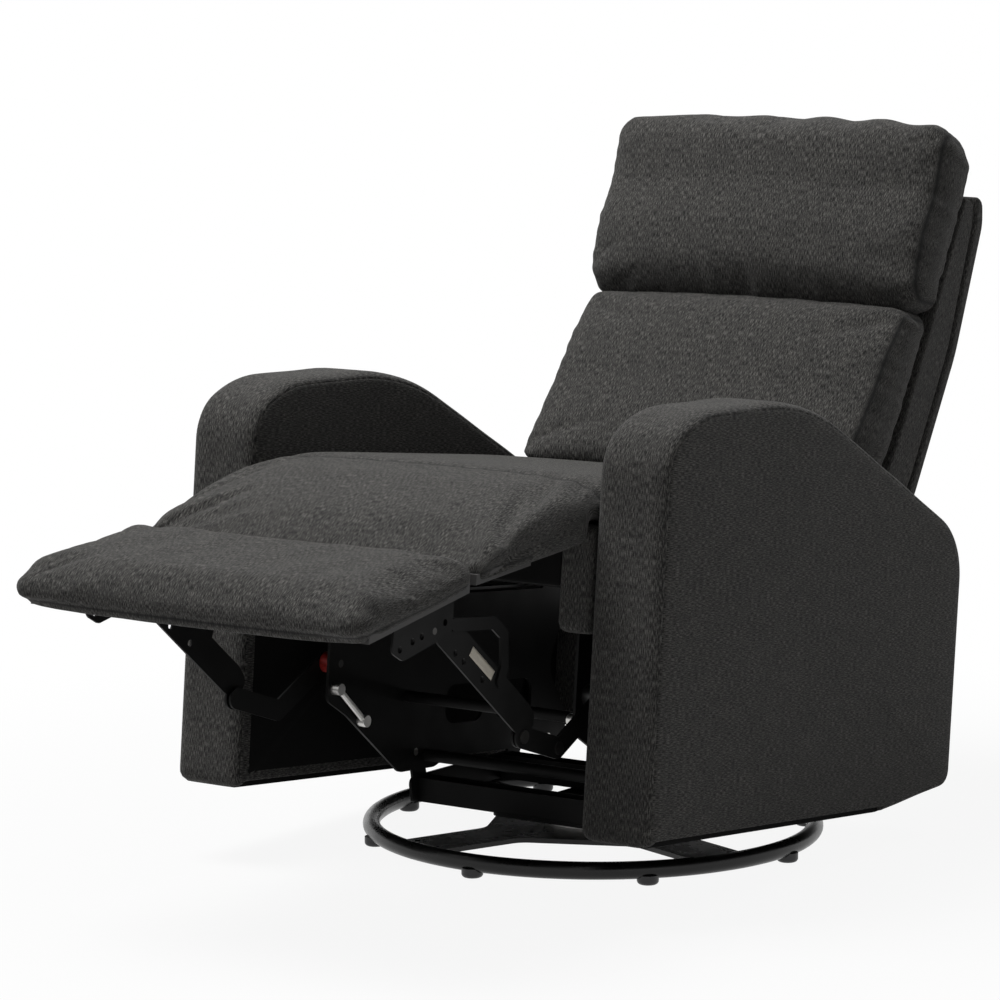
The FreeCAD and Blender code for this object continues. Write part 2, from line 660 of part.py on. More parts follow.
def foot_pins():
    """Shouldered pins in the footrest brackets that the front links turn on."""
    one = pin(FRONT_LINK_X - 0.3, BRACKET_X + LINK_PLATE, FOOT_PIN[0], FOOT_PIN[1], PIN - 1, 8, 2.5)
    return both(one)


def pivot_pins():
    """Fixed pins of the rear links, headed outside the link."""
    one = pin(MECH_X, REAR_LINK_X + LINK_PLATE + 0.4, REAR_PIVOT[0], REAR_PIVOT[1], PIN, 9, 2, False)
    return both(one)


def stop_bush():
    """Plastic bush on the rear link's fixed pin."""
    x0, x1 = MECH_X + PLATE, REAR_LINK_X - GAP
    bush = rod_x(x0, x1, REAR_PIVOT[0], REAR_PIVOT[1], 13)
    return both(bush.cut(rod_x(x0, x1, REAR_PIVOT[0], REAR_PIVOT[1], PIN)))


# ---------------------------------------------------------------- back

def back_stile():
    """Side member of the back frame, with a hollow rear edge line."""
    top = BACK_TOP - 8
    return slab([(12, -8, 4), (52, -8, 4), (84, 150, 200), (104, 330, 200), (94, top - 25, 30), (84, top, 8),
                 (58, top, 4), (44, 340, 100), (30, 205, 60), (12, 100, 30)], STILE_INNER, STILE_OUTER)


def back_rail(s0, s1, v0, v1):
    return box(-STILE_INNER, STILE_INNER, v0, v1, s0, s1)


def back_shell():
    """Padded outside back."""
    top = BACK_TOP
    return slab([(52.6, -10, 3), (66, -10, 3), (98, 130, 200), (118, 330, 250), (108, top - 28, 90), (98, top, 8),
                 (86, top, 2), (94.6, top - 33, 30), (104.6, 330, 200), (84.6, 150, 200)], -BACK_HALF, BACK_HALF)


def back_side_pad():
    """Thin padded strip along the outside of a stile, between cushion and outside back."""
    top = BACK_TOP - 8
    return slab([(13, -8, 3), (50, -8, 3), (82, 150, 200), (102, 330, 200), (92, top - 27, 30), (82, top, 8),
                 (58, top, 4), (44, 340, 100), (31, 205, 60), (13, 100, 30)], STILE_OUTER, BACK_HALF)


def back_bracket():
    """Flat steel bracket from the recline pin up the inner face of a stile."""
    x0, x1 = STILE_INNER - PLATE, STILE_INNER
    arm = strap([(0, 0), (26, 60), (34, 150)], 13, x0, x1)
    return drill(arm, x0, x1, 0, 0, PIN + PIN_PLAY)


def back_straps():
    """Webbing across the back frame, behind the cushion."""
    bands = [box(-STILE_INNER, STILE_INNER, 52, 54, s, s + 50) for s in (150, 230, 310, 390)]
    return Part.makeCompound(bands)


def back_cushion():
    return slab([(-6, 122, 12), (-97, 84, 12), (-99, 118, 60), (-91, 148, 60), (-68, 212, 80), (-52, 276, 80),
                 (-26, 338, 20), (38, 352, 8), (42.7, 330, 0), (29.4, 205, 0), (12, 108, 4)], -BACK_HALF, BACK_HALF)


def head_cushion():
    top = BACK_TOP
    return slab([(-6, 345, 16), (44.5, 358, 6), (57.5, top - 8, 4), (58, top + 30, 22), (20, top + 65, 34),
                 (-48, top + 65, 20), (-54, top + 22, 40), (-46, top - 38, 60), (-54, 440, 40), (-40, 372, 30)],
                -BACK_HALF, BACK_HALF)


def recline_pins():
    one = pin(MECH_X, STILE_INNER + 0.4, PIVOT[0], PIVOT[1], PIN, 9, 2.4, False)
    return both(one)


# ---------------------------------------------------------------- writing

def write(node, shape):
    if not shape.isValid():
        raise ValueError(node + " is not valid")
    shape.exportStep(os.path.join(PARTS, node + ".step"))
    print(f"{node:24s} {len(shape.Solids):3d} solids  {shape.Volume / 1000:9.1f} cm3")


def write_pair(node, shape):
    """A piece of the body as one node for each side: right is +X."""
    write(node + "_right", place_body(shape))
    write(node + "_left", place_body(mirrored(shape)))


def main():
    os.makedirs(PARTS, exist_ok=True)
    write("base_ring", base_ring())
    write("base_cross", base_cross())
    write("base_glides", base_glides())
    write("swivel_lower_race", race(RACE_Z, True))
    write("swivel_upper_race", race(TABLE_Z - RACE_THICK, False))
    write("swivel_balls", swivel_balls())
    write("swivel_bolt", swivel_bolt())
    write("turntable_plate", turntable_plate())
    write("turntable_channels", Part.makeCompound([turntable_channel(-1), turntable_channel(1)]))
    write("turntable_sides", both(turntable_side()))
    write("glide_upper_pins", glide_upper_pins())
    write("glide_links_front", both(glide_link(0, False)))
    write("glide_links_rear", both(glide_link(1, True)))

    write_pair("mechanism_plate", mechanism_plate())
    write("glide_lower_pins", place_body(glide_lower_pins()))
    write("cross_tubes", place_body(Part.makeCompound([
        cross_tube(245, 109, 7.5, 1.5), cross_tube(GLIDE_FRONT[0] + 22, GLIDE_FRONT[1] - 5, 8, 1.5)])))
    write("arm_brackets", place_body(Part.makeCompound([both(arm_bracket(u)) for u in ARM_BRACKET_U])))
    write("arm_bolts", place_body(arm_bolts()))
    write("drive_rods", place_body(both(drive_rod())))
    write("seat_runners", place_body(both(runner())))
    write("link_pivot_pins", place_body(pivot_pins()))
    write("stop_bushes", place_body(stop_bush()))
    write("recline_pins", place_body(recline_pins()))
    for name, shape in arm_parts().items():
        write_pair("arm_" + name, shape)
    write("rear_apron", place_body(rear_apron()))

    write("seat_side_rails", place_body(both(seat_rail())))
    write("seat_cross_rails", place_body(Part.makeCompound([seat_front_rail(), seat_rear_rail()])))
    write("seat_springs", place_body(seat_springs()))
    write("spring_clips", place_body(spring_clips()))
    write("seat_cushion", place_body(seat_cushion()))
    write("seat_dust_cover", place_body(seat_dust_cover()))
    write("seat_hinge_leaves", place_body(both(seat_hinge_leaf())))

    write("flap_board", place_body(flap_board()))
    write("flap_pad", place_body(flap_pad()))
    leaf = tip_leaf(160, 170, -212, flap_under(-212), 1.8)
    leaf = leaf.fuse(rod_x(160, 180, *TIP_HINGE, 1.8)).removeSplitter()
    write("flap_hinge_leaves", place_body(Part.makeCompound([both(flap_hinge_leaf()), both(leaf)])))
    write("footrest_board", place_body(footrest_board()))
    write("footrest_pad", place_body(footrest_pad()))
    write("footrest_tip_leaves", place_body(both(tip_leaf(170.3, 180, -242, foot_under(-242), 1.8 + PIN_PLAY))))
    write("footrest_brackets", place_body(both(footrest_bracket())))
    write("foot_pins", place_body(foot_pins()))
    write("front_links", place_body(both(front_link())))
    write("front_straps", place_body(both(front_strap())))
    write("rear_links", place_body(both(rear_link())))
    write("rear_link_pins", place_body(rear_link_pins()))

    write("back_stiles", place_back(both(back_stile())))
    write("back_rails", place_back(Part.makeCompound([back_rail(30, 84, 44, 60),
                                                      back_rail(BACK_TOP - 58, BACK_TOP - 10, 60, 80)])))
    write("back_straps", place_back(back_straps()))
    write("back_shell", place_back(back_shell()))
    write("back_side_pads", place_back(both(back_side_pad())))
    write("back_brackets", place_back(both(back_bracket())))
    write("back_cushion", place_back(back_cushion()))
    write("head_cushion", place_back(head_cushion()))


main()
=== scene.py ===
import json
import math

import bmesh
import bpy
import numpy as np
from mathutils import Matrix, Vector


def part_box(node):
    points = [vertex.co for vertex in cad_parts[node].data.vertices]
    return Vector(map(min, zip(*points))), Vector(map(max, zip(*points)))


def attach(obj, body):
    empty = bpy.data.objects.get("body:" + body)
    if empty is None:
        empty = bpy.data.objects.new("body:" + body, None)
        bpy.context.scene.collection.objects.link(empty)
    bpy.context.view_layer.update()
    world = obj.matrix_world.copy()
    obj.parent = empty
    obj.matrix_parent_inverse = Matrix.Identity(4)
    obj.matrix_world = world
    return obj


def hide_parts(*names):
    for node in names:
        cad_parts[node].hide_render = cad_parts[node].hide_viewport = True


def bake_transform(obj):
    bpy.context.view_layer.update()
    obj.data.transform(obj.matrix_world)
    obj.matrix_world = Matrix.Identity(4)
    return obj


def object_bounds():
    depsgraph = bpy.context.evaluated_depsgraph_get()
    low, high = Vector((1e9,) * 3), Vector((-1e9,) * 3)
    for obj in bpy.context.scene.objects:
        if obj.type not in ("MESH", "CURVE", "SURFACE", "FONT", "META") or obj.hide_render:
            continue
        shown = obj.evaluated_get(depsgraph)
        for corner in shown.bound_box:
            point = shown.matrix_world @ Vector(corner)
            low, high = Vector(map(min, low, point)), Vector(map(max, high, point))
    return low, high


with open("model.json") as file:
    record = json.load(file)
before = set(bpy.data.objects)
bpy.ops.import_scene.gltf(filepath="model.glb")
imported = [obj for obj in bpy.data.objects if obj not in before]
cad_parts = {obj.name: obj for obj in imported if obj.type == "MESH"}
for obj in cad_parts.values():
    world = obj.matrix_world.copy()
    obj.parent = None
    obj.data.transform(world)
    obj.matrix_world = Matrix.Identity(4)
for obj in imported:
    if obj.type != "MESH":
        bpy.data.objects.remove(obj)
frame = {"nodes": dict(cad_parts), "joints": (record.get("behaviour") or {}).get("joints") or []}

cad_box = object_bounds()

# ------------------------------------------------------------------------------------------
# Floor ring, flat cross and swivel. The ring is bent steel tube and the cross is pressed
# plate welded to it with wide fillets, all powder coated gloss black. The ball race between
# cross and turntable carries the chair, held by one shouldered bolt.

def add(tree, kind, inputs, **settings):
    """A shader node. Each input, by name or number, is a value or another node's output."""
    node = tree.nodes.new("ShaderNode" + kind)
    for key, value in settings.items():
        setattr(node, key, value)
    for key, value in inputs.items():
        if isinstance(value, bpy.types.NodeSocket):
            tree.links.new(value, node.inputs[key])
        else:
            node.inputs[key].default_value = value
    return node


def finish_named(name, roughness, **constants):
    """A new material: its node tree and its Principled shader."""
    material = bpy.data.materials.new(name)
    material.use_nodes = True
    skin = material.node_tree.nodes["Principled BSDF"]
    skin.inputs["Roughness"].default_value = roughness
    for key, value in constants.items():
        skin.inputs[key.replace("_", " ")].default_value = value
    return material, material.node_tree, skin


def powder_coat(name, colour, roughness, peel, shine):
    """Black powder coat: orange peel of about a millimetre, and soft patches of duller finish."""
    material, tree, skin = finish_named(name, roughness, Specular_IOR_Level=shine)
    place = add(tree, "TexCoord", {}).outputs["Object"]
    grain = add(tree, "TexNoise", {"Vector": place, "Scale": 900.0, "Detail": 2.0}).outputs["Fac"]
    patch = add(tree, "TexNoise", {"Vector": place, "Scale": 23.0, "Detail": 4.0}).outputs["Fac"]
    dull = add(tree, "MapRange", {"Value": patch, "From Min": 0.35, "From Max": 0.7,
                                  "To Min": roughness - 0.05, "To Max": roughness + 0.08})
    shade = add(tree, "MixRGB", {"Fac": patch, "Color1": [0.75 * c for c in colour] + [1],
                                 "Color2": [1.35 * c for c in colour] + [1]})
    bump = add(tree, "Bump", {"Height": grain, "Strength": peel, "Distance": 0.0002})
    tree.links.new(dull.outputs[0], skin.inputs["Roughness"])
    tree.links.new(shade.outputs[0], skin.inputs["Base Color"])
    tree.links.new(bump.outputs[0], skin.inputs["Normal"])
    return material


def rounded_shading(obj, sharp=35.0):
    """Welds a steel node's loose triangles for shading, and keeps its edges crisp."""
    obj.modifiers.new("weld", "WELD").merge_threshold = 1e-5
    edges = obj.modifiers.new("edges", "EDGE_SPLIT")
    edges.split_angle = math.radians(sharp)
    obj.data.polygons.foreach_set("use_smooth", np.ones(len(obj.data.polygons), bool))


def dress(material, *names):
    """Gives CAD nodes their finish."""
    for name in names:
        obj = frame["nodes"][name]
        obj.data.materials.clear()
        obj.data.materials.append(material)
        rounded_shading(obj)


gloss_black = powder_coat("gloss_powder_coat", (0.006, 0.006, 0.006), 0.27, 0.05, 0.30)
satin_black = powder_coat("satin_powder_coat", (0.006, 0.006, 0.006), 0.50, 0.12, 0.08)
dress(gloss_black, "base_ring", "base_cross")


def plated_steel(name, colour, roughness):
    """Zinc plate: fine rubbed grain and a faint mottle."""
    material, tree, skin = finish_named(name, roughness, Metallic=1.0)
    place = add(tree, "TexCoord", {}).outputs["Object"]
    mottle = add(tree, "TexNoise", {"Vector": place, "Scale": 160.0, "Detail": 5.0}).outputs["Fac"]
    fine = add(tree, "TexNoise", {"Vector": place, "Scale": 2400.0, "Detail": 1.0}).outputs["Fac"]
    shade = add(tree, "MixRGB", {"Fac": mottle, "Color1": [0.8 * c for c in colour] + [1],
                                 "Color2": list(colour) + [1]})
    dull = add(tree, "MapRange", {"Value": mottle, "To Min": roughness - 0.08, "To Max": roughness + 0.12})
    bump = add(tree, "Bump", {"Height": fine, "Strength": 0.08, "Distance": 0.0001})
    tree.links.new(shade.outputs[0], skin.inputs["Base Color"])
    tree.links.new(dull.outputs[0], skin.inputs["Roughness"])
    tree.links.new(bump.outputs[0], skin.inputs["Normal"])
    return material


zinc = plated_steel("zinc_plate", (0.62, 0.61, 0.59), 0.32)
dress(zinc, "swivel_lower_race", "swivel_upper_race", "swivel_balls", "swivel_bolt")

# ------------------------------------------------------------------------------------------
# Eight glides saddled under the ring, which the chair stands on. They are moulded in black
# polypropylene and pushed over the tube.

def moulded(name, colour, roughness):
    """Moulded plastic: fine spark-eroded grain, a little lighter where it is rubbed."""
    material, tree, skin = finish_named(name, roughness, Specular_IOR_Level=0.45)
    place = add(tree, "TexCoord", {}).outputs["Object"]
    grain = add(tree, "TexVoronoi", {"Vector": place, "Scale": 1500.0}).outputs["Distance"]
    wear = add(tree, "TexNoise", {"Vector": place, "Scale": 90.0, "Detail": 4.0}).outputs["Fac"]
    shade = add(tree, "MixRGB", {"Fac": wear, "Color1": [0.8 * c for c in colour] + [1],
                                 "Color2": [min(1.0, 1.3 * c) for c in colour] + [1]})
    bump = add(tree, "Bump", {"Height": grain, "Strength": 0.15, "Distance": 0.0002})
    tree.links.new(shade.outputs[0], skin.inputs["Base Color"])
    tree.links.new(bump.outputs[0], skin.inputs["Normal"])
    return material


black_plastic = moulded("black_polypropylene", (0.014, 0.014, 0.015), 0.42)
dress(black_plastic, "base_glides")

# ------------------------------------------------------------------------------------------
# Turntable and glide. Two channels and a plate are welded up, each side plate carries two
# hangers, and the chair body swings on them. Pressed steel, satin powder coat, zinc pins.

dress(satin_black, "turntable_plate", "turntable_channels", "turntable_sides",
      "glide_links_front", "glide_links_rear")
dress(zinc, "glide_upper_pins", "glide_lower_pins")

# ------------------------------------------------------------------------------------------
# Recliner mechanism. Pressed side plates, brackets, tubes and links, satin powder coat, with
# zinc pins and drive rods, nylon runners under the seat and red bushes on the rear pivots.

dress(satin_black, "mechanism_plate_right", "mechanism_plate_left", "cross_tubes", "arm_brackets",
      "rear_links", "front_links", "front_straps", "footrest_brackets", "seat_hinge_leaves",
      "flap_hinge_leaves", "footrest_tip_leaves", "back_brackets")
dress(zinc, "arm_bolts", "drive_rods", "recline_pins", "seat_springs", "spring_clips")
dress(plated_steel("blackened_steel", (0.060, 0.058, 0.056), 0.40),
      "foot_pins", "rear_link_pins", "link_pivot_pins")
dress(black_plastic, "seat_runners")


def two_bushes(name):
    """Moulded plastic: the left bush red, the right one black, told apart by their side of the chair."""
    material = moulded(name, (0.30, 0.016, 0.012), 0.38)
    tree = material.node_tree
    skin = tree.nodes["Principled BSDF"]
    red = skin.inputs["Base Color"].links[0].from_socket
    side = add(tree, "SeparateXYZ", {0: add(tree, "TexCoord", {}).outputs["Object"]}).outputs["X"]
    right = add(tree, "Math", {0: side, 1: 0.0}, operation="GREATER_THAN").outputs[0]
    shade = add(tree, "MixRGB", {"Fac": right, "Color1": red, "Color2": (0.012, 0.012, 0.012, 1)})
    tree.links.new(shade.outputs[0], skin.inputs["Base Color"])
    return material


dress(two_bushes("bush_plastic"), "stop_bushes")

# ------------------------------------------------------------------------------------------
# Wood frame. Plywood boards under the footrest and flap, and softwood rails and stiles. They
# are glued and screwed, and the boards are stained black on the side that shows from below.

def timber(name, pale, dark, along):
    """Wood grain: rings drawn out along the board, with fine pores. along is the stretch per axis."""
    material, tree, skin = finish_named(name, 0.65)
    place = add(tree, "TexCoord", {}).outputs["Object"]
    drawn = add(tree, "Mapping", {"Vector": place, "Scale": along}).outputs[0]
    rings = add(tree, "TexWave", {"Vector": drawn, "Scale": 9.0, "Distortion": 5.0, "Detail": 3.0})
    pores = add(tree, "TexNoise", {"Vector": drawn, "Scale": 160.0, "Detail": 3.0}).outputs["Fac"]
    grain = add(tree, "MixRGB", {"Fac": 0.35, "Color1": rings.outputs["Color"], "Color2": pores})
    shade = add(tree, "MixRGB", {"Fac": grain.outputs[0], "Color1": list(dark) + [1],
                                 "Color2": list(pale) + [1]})
    bump = add(tree, "Bump", {"Height": grain.outputs[0], "Strength": 0.2, "Distance": 0.0004})
    tree.links.new(shade.outputs[0], skin.inputs["Base Color"])
    tree.links.new(bump.outputs[0], skin.inputs["Normal"])
    return material


softwood = timber("softwood", (0.50, 0.34, 0.19), (0.34, 0.20, 0.10), (0.25, 3.0, 3.0))
black_ply = timber("black_stained_plywood", (0.022, 0.020, 0.019), (0.010, 0.010, 0.010), (0.25, 3.0, 3.0))
dress(softwood, "back_stiles", "back_rails")
dress(black_ply, "flap_board", "footrest_board", "seat_cross_rails")

# ------------------------------------------------------------------------------------------
# Black cambric under the seat and on the undersides of the arms, and webbing across the back
# frame. Non-woven cloth stapled to the wood, with a pressed pattern of small dimples.

def cambric(name, colour):
    """Spun-bonded cloth: pressed dimples every 2 mm over tangled fibre."""
    material, tree, skin = finish_named(name, 0.95, Specular_IOR_Level=0.08)
    place = add(tree, "TexCoord", {}).outputs["Object"]
    fibre = add(tree, "TexNoise", {"Vector": place, "Scale": 1200.0, "Detail": 3.0}).outputs["Fac"]
    dimple = add(tree, "TexVoronoi", {"Vector": place, "Scale": 500.0}).outputs["Distance"]
    height = add(tree, "MixRGB", {"Fac": 0.5, "Color1": fibre, "Color2": dimple})
    shade = add(tree, "MixRGB", {"Fac": fibre, "Color1": [0.6 * c for c in colour] + [1],
                                 "Color2": [1.6 * c for c in colour] + [1]})
    bump = add(tree, "Bump", {"Height": height.outputs[0], "Strength": 0.4, "Distance": 0.0004})
    tree.links.new(shade.outputs[0], skin.inputs["Base Color"])
    tree.links.new(bump.outputs[0], skin.inputs["Normal"])
    return material


black_cambric = cambric("black_cambric", (0.006, 0.006, 0.006))
dress(black_cambric, "seat_dust_cover", "back_straps", "arm_core_right", "arm_core_left")

# ------------------------------------------------------------------------------------------
# Arm covers. Each arm is a padded wood box in charcoal slub linen: one band up the front,
# over the top and down the rear, sewn to an outer and an inner panel a little inside the
# edge. The covers are pulled under and stapled beneath.

def heathered_linen(name):
    """Charcoal slub linen. The piece's cloth attribute gives metres across and along the warp:
    long pale and dark slubs run along it, short ones across, over a fine plain weave. The seam
    attribute paints shade into the colour: near black along the seam grooves."""
    material, tree, skin = finish_named(name, 0.92, Sheen_Weight=0.06, Sheen_Roughness=0.45,
                                        Specular_IOR_Level=0.18)
    place = add(tree, "Attribute", {}, attribute_name="cloth").outputs["Vector"]
    seam = add(tree, "Attribute", {}, attribute_name="seam").outputs["Fac"]

    def slub(across, along, detail, low, high):
        spread = add(tree, "Mapping", {"Vector": place, "Scale": (across, along, 150.0)}).outputs[0]
        noise = add(tree, "TexNoise", {"Vector": spread, "Scale": 1.0, "Detail": detail}).outputs["Fac"]
        return add(tree, "MapRange", {"Value": noise, "From Min": low, "From Max": high}).outputs[0]

    warp = slub(1150.0, 140.0, 2.0, 0.36, 0.64)
    weft = slub(330.0, 1100.0, 2.0, 0.36, 0.64)
    drift = slub(60.0, 22.0, 4.0, 0.3, 0.7)
    thread = add(tree, "MixRGB", {"Fac": 0.22, "Color1": warp, "Color2": weft}).outputs[0]
    ramp = add(tree, "ValToRGB", {"Fac": thread})
    stops = ramp.color_ramp.elements
    stops[0].position, stops[0].color = 0.10, (0.0085, 0.0083, 0.0080, 1)
    stops[1].position, stops[1].color = 0.95, (0.1240, 0.1207, 0.1146, 1)
    middle = stops.new(0.5)
    middle.color = (0.0390, 0.0380, 0.0362, 1)
    tint = add(tree, "MixRGB", {"Fac": drift, "Color1": (0.84, 0.84, 0.84, 1),
                                "Color2": (1.14, 1.13, 1.115, 1)}).outputs[0]
    toned = add(tree, "MixRGB", {"Fac": 1.0, "Color1": ramp.outputs[0], "Color2": tint},
                blend_type="MULTIPLY").outputs[0]
    # Painted shade: the colour goes near black along the seam lines, standing for the shade in the seam
    # grooves.
    seam_shaded = add(tree, "MixRGB", {"Fac": seam, "Color1": toned, "Color2": (0.008, 0.008, 0.008, 1)})
    weave = add(tree, "TexBrick", {"Vector": place, "Scale": 1.0,
                                   "Brick Width": 0.0016, "Row Height": 0.0008,
                                   "Mortar Size": 0.00016, "Mortar Smooth": 0.8,
                                   "Color1": (1, 1, 1, 1), "Color2": (0.7, 0.7, 0.7, 1),
                                   "Mortar": (0, 0, 0, 1)}).outputs["Color"]
    height = add(tree, "MixRGB", {"Fac": 0.35, "Color1": thread, "Color2": weave}).outputs[0]
    bump = add(tree, "Bump", {"Height": height, "Strength": 0.6, "Distance": 0.0006})
    tree.links.new(seam_shaded.outputs[0], skin.inputs["Base Color"])
    tree.links.new(bump.outputs[0], skin.inputs["Normal"])
    return material


linen = heathered_linen("charcoal_slub_linen")

joints = {j["name"]: j for j in frame["joints"]}
RECLINE_U, RECLINE_W = 0.620, 0.300        # recline pivot in the body's own axes
sideways = np.array([1.0, 0.0, 0.0])
rearward = np.array(joints["seat_travel"]["axis"])
upward = np.array([0.0, -rearward[2], rearward[1]])
recline_at = np.array(joints["recline"]["pos_m"])
body_origin = recline_at - RECLINE_U * rearward - RECLINE_W * upward


def on_body(x, u, w):
    """Body axes to world: x sideways, u rearward from the lower front corner of the arms, w up."""
    x, u, w = np.broadcast_arrays(x, u, w)
    return x[..., None] * sideways + u[..., None] * rearward + w[..., None] * upward + body_origin


def evenly(line, count, closed):
    """A line's points spaced evenly along its length, by linear interpolation on its arc length."""
    whole = np.vstack([line, line[:1]]) if closed else line
    run = np.concatenate([[0], np.cumsum(np.linalg.norm(np.diff(whole, axis=0), axis=1))])
    at = np.linspace(0, run[-1], count, endpoint=not closed)
    return np.stack([np.interp(at, run, whole[:, k]) for k in range(whole.shape[1])], 1)


def rounded_line(corners, step):
    """Closed outline through (a, b, radius) corners: every corner is an arc tangent to its sides."""
    corners = np.array(corners, float)
    arcs = []
    for before, (a, b, radius), after in zip(np.roll(corners, 1, 0), corners, np.roll(corners, -1, 0)):
        here = np.array([a, b])
        p, q = before[:2] - here, after[:2] - here
        p, q = p / np.hypot(*p), q / np.hypot(*q)
        half = math.acos(float(np.clip(p @ q, -1, 1))) / 2
        centre = here + (p + q) / np.hypot(*(p + q)) * radius / math.sin(half)
        first, last = (here + d * radius / math.tan(half) - centre for d in (p, q))
        start = math.atan2(first[1], first[0])
        sweep = (math.atan2(last[1], last[0]) - start + math.pi) % (2 * math.pi) - math.pi
        turn = start + sweep * np.linspace(0, 1, 14)
        arcs.append(centre + radius * np.stack([np.cos(turn), np.sin(turn)], 1))
    line = np.vstack(arcs)
    length = np.linalg.norm(np.diff(np.vstack([line, line[:1]]), axis=0), axis=1).sum()
    return evenly(line, int(length / step), True)


def outward(line):
    """Unit normals of a closed outline, by central differences, pointing out of it."""
    tangent = np.roll(line, -1, 0) - np.roll(line, 1, 0)
    normal = np.stack([tangent[:, 1], -tangent[:, 0]], 1)
    normal /= np.linalg.norm(normal, axis=1)[:, None]
    area = np.sum(line[:, 0] * np.roll(line[:, 1], -1) - line[:, 1] * np.roll(line[:, 0], -1))
    return normal if area > 0 else -normal


def shell(name, points, cloth, wrap_rows, wrap_columns, seal=1e-5):
    """A mesh from a grid of points (rows, columns, 3), closed round its rows or columns where wrapped.
    Points nearer than seal are merged, so poles close, and the faces are turned outwards. cloth
    (rows, columns, 2) is the position in the weave."""
    rows, columns = points.shape[:2]
    number = np.arange(rows * columns).reshape(rows, columns)
    r = np.arange(rows if wrap_rows else rows - 1)
    c = np.arange(columns if wrap_columns else columns - 1)
    r0, c0 = np.meshgrid(r, c, indexing="ij")
    r1, c1 = (r0 + 1) % rows, (c0 + 1) % columns
    quads = np.stack([number[r0, c0], number[r1, c0], number[r1, c1], number[r0, c1]], -1).reshape(-1, 4)
    mesh = bpy.data.meshes.new(name)
    mesh.from_pydata(points.reshape(-1, 3), [], quads.tolist())
    weave = mesh.attributes.new("cloth", "FLOAT_VECTOR", "POINT")
    weave.data.foreach_set("vector", np.concatenate(
        [cloth, np.zeros((rows, columns, 1))], -1).astype(np.float32).ravel())
    mesh.attributes.new("seam", "FLOAT", "POINT")
    work = bmesh.new()
    work.from_mesh(mesh)
    bmesh.ops.remove_doubles(work, verts=work.verts, dist=seal)
    bmesh.ops.dissolve_degenerate(work, edges=work.edges, dist=1e-7)
    bmesh.ops.recalc_face_normals(work, faces=work.faces)
    work.to_mesh(mesh)
    work.free()
    mesh.polygons.foreach_set("use_smooth", np.ones(len(mesh.polygons), bool))
    obj = bpy.data.objects.new(name, mesh)
    bpy.context.scene.collection.objects.link(obj)
    return obj


def upholster(obj, body, *nodes, fill=1.0):
    """Linen over foam or wadding, on a piece that stands for CAD nodes and rides on a body."""
    obj.data.materials.append(linen)
    if nodes:
        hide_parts(*nodes)
    if body:
        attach(obj, body)


def soften(t, power=2.0):
    """A quarter of a superellipse: 0 at t = 0, rising steeply and levelling out at 1 from t = 1."""
    return (1 - (1 - np.clip(t, 0, 1)) ** power) ** (1 / power)


ARM_HALF = 0.048            # half the arm's width
ARM_SEAM_X = 0.0468         # the seams, from the arm's middle
ARM_SEAM_IN = 0.0035        # and inside its outline
ARM_CROWN = 0.0055
PANEL_CROWN = 0.0045
BAND_SHOULDER = 0.42        # the share of the half width over which the band rises
BAND_THICK = 0.013
ARM_DEEP = 0.708
UNDERSIDE, STRIP_FRONT, STRIP_REAR = 0.0055, 0.012, 0.690   # where the band ends beneath
ARM_CENTRE = np.array([0.33, 0.25])
arm_line = rounded_line([(0, 0.005, 0.010), (0, 0.464, 0.062), (0.068, 0.501, 0.150), (0.302, 0.517, 0.400),
                         (ARM_DEEP, 0.343, 0.085), (ARM_DEEP, 0.027, 0.018), (0.540, 0.005, 0.060)], 0.006)
arm_reach = arm_line - ARM_CENTRE
arm_support = np.sum(arm_reach * outward(arm_line), axis=1)
arm_run = np.concatenate([[0], np.cumsum(np.linalg.norm(np.diff(arm_line, axis=0), axis=1))])


def arm_ring(offset):
    """The arm's outline moved outwards by offset, along lines from its centre."""
    offset = np.asarray(offset)
    grow = 1 + offset[None, :] / arm_support[:, None]
    return ARM_CENTRE + arm_reach[:, None, :] * grow[..., None]


def arm_band(name, middle_x):
    """The band: across it a superellipse from seam to seam, closed by a flat inner side. It runs
    along the outline except underneath, where it ends in two closed strips."""
    q = np.sin(np.linspace(-math.pi / 2, math.pi / 2, 33))
    top = -ARM_SEAM_IN + (ARM_SEAM_IN + ARM_CROWN) * soften((1 - np.abs(q)) / BAND_SHOULDER, 2.2)
    inner = np.linspace(0.98, -0.98, 9)
    across = np.concatenate([q, inner]) * ARM_SEAM_X
    ring = arm_ring(np.concatenate([top, np.full(len(inner), -BAND_THICK)]))
    strip = (arm_line[:, 1] > UNDERSIDE) | (arm_line[:, 0] < STRIP_FRONT) | (arm_line[:, 0] > STRIP_REAR)
    first = int(np.argmax(strip & ~np.roll(strip, 1))) if not strip.all() else 0
    order = np.roll(np.arange(len(arm_line)), -first)[: int(strip.sum())]
    ring, run = ring[order], np.cumsum(np.full(len(order), arm_run[1]))
    ripple = 0.0004 * np.sin(run * 41 + 0.7) * np.sin(run * 17)
    x = np.broadcast_to(middle_x + across, ring.shape[:2])
    points = on_body(x, ring[..., 0], ring[..., 1] + ripple[:, None])
    ends = points.mean(1, keepdims=True)
    points = np.concatenate([np.repeat(ends[:1], points.shape[1], 1), points,
                             np.repeat(ends[-1:], points.shape[1], 1)])
    run = np.concatenate([run[:1], run, run[-1:]])
    cloth = np.stack(np.broadcast_arrays(across[None, :] + middle_x * 7, run[:, None]), -1)
    return shell(name, points, cloth, False, True)


PANEL_EDGE, PANEL_REACH = 0.016, 0.2
PANEL_BACK = 0.037          # the panel's inner side, from the arm's middle


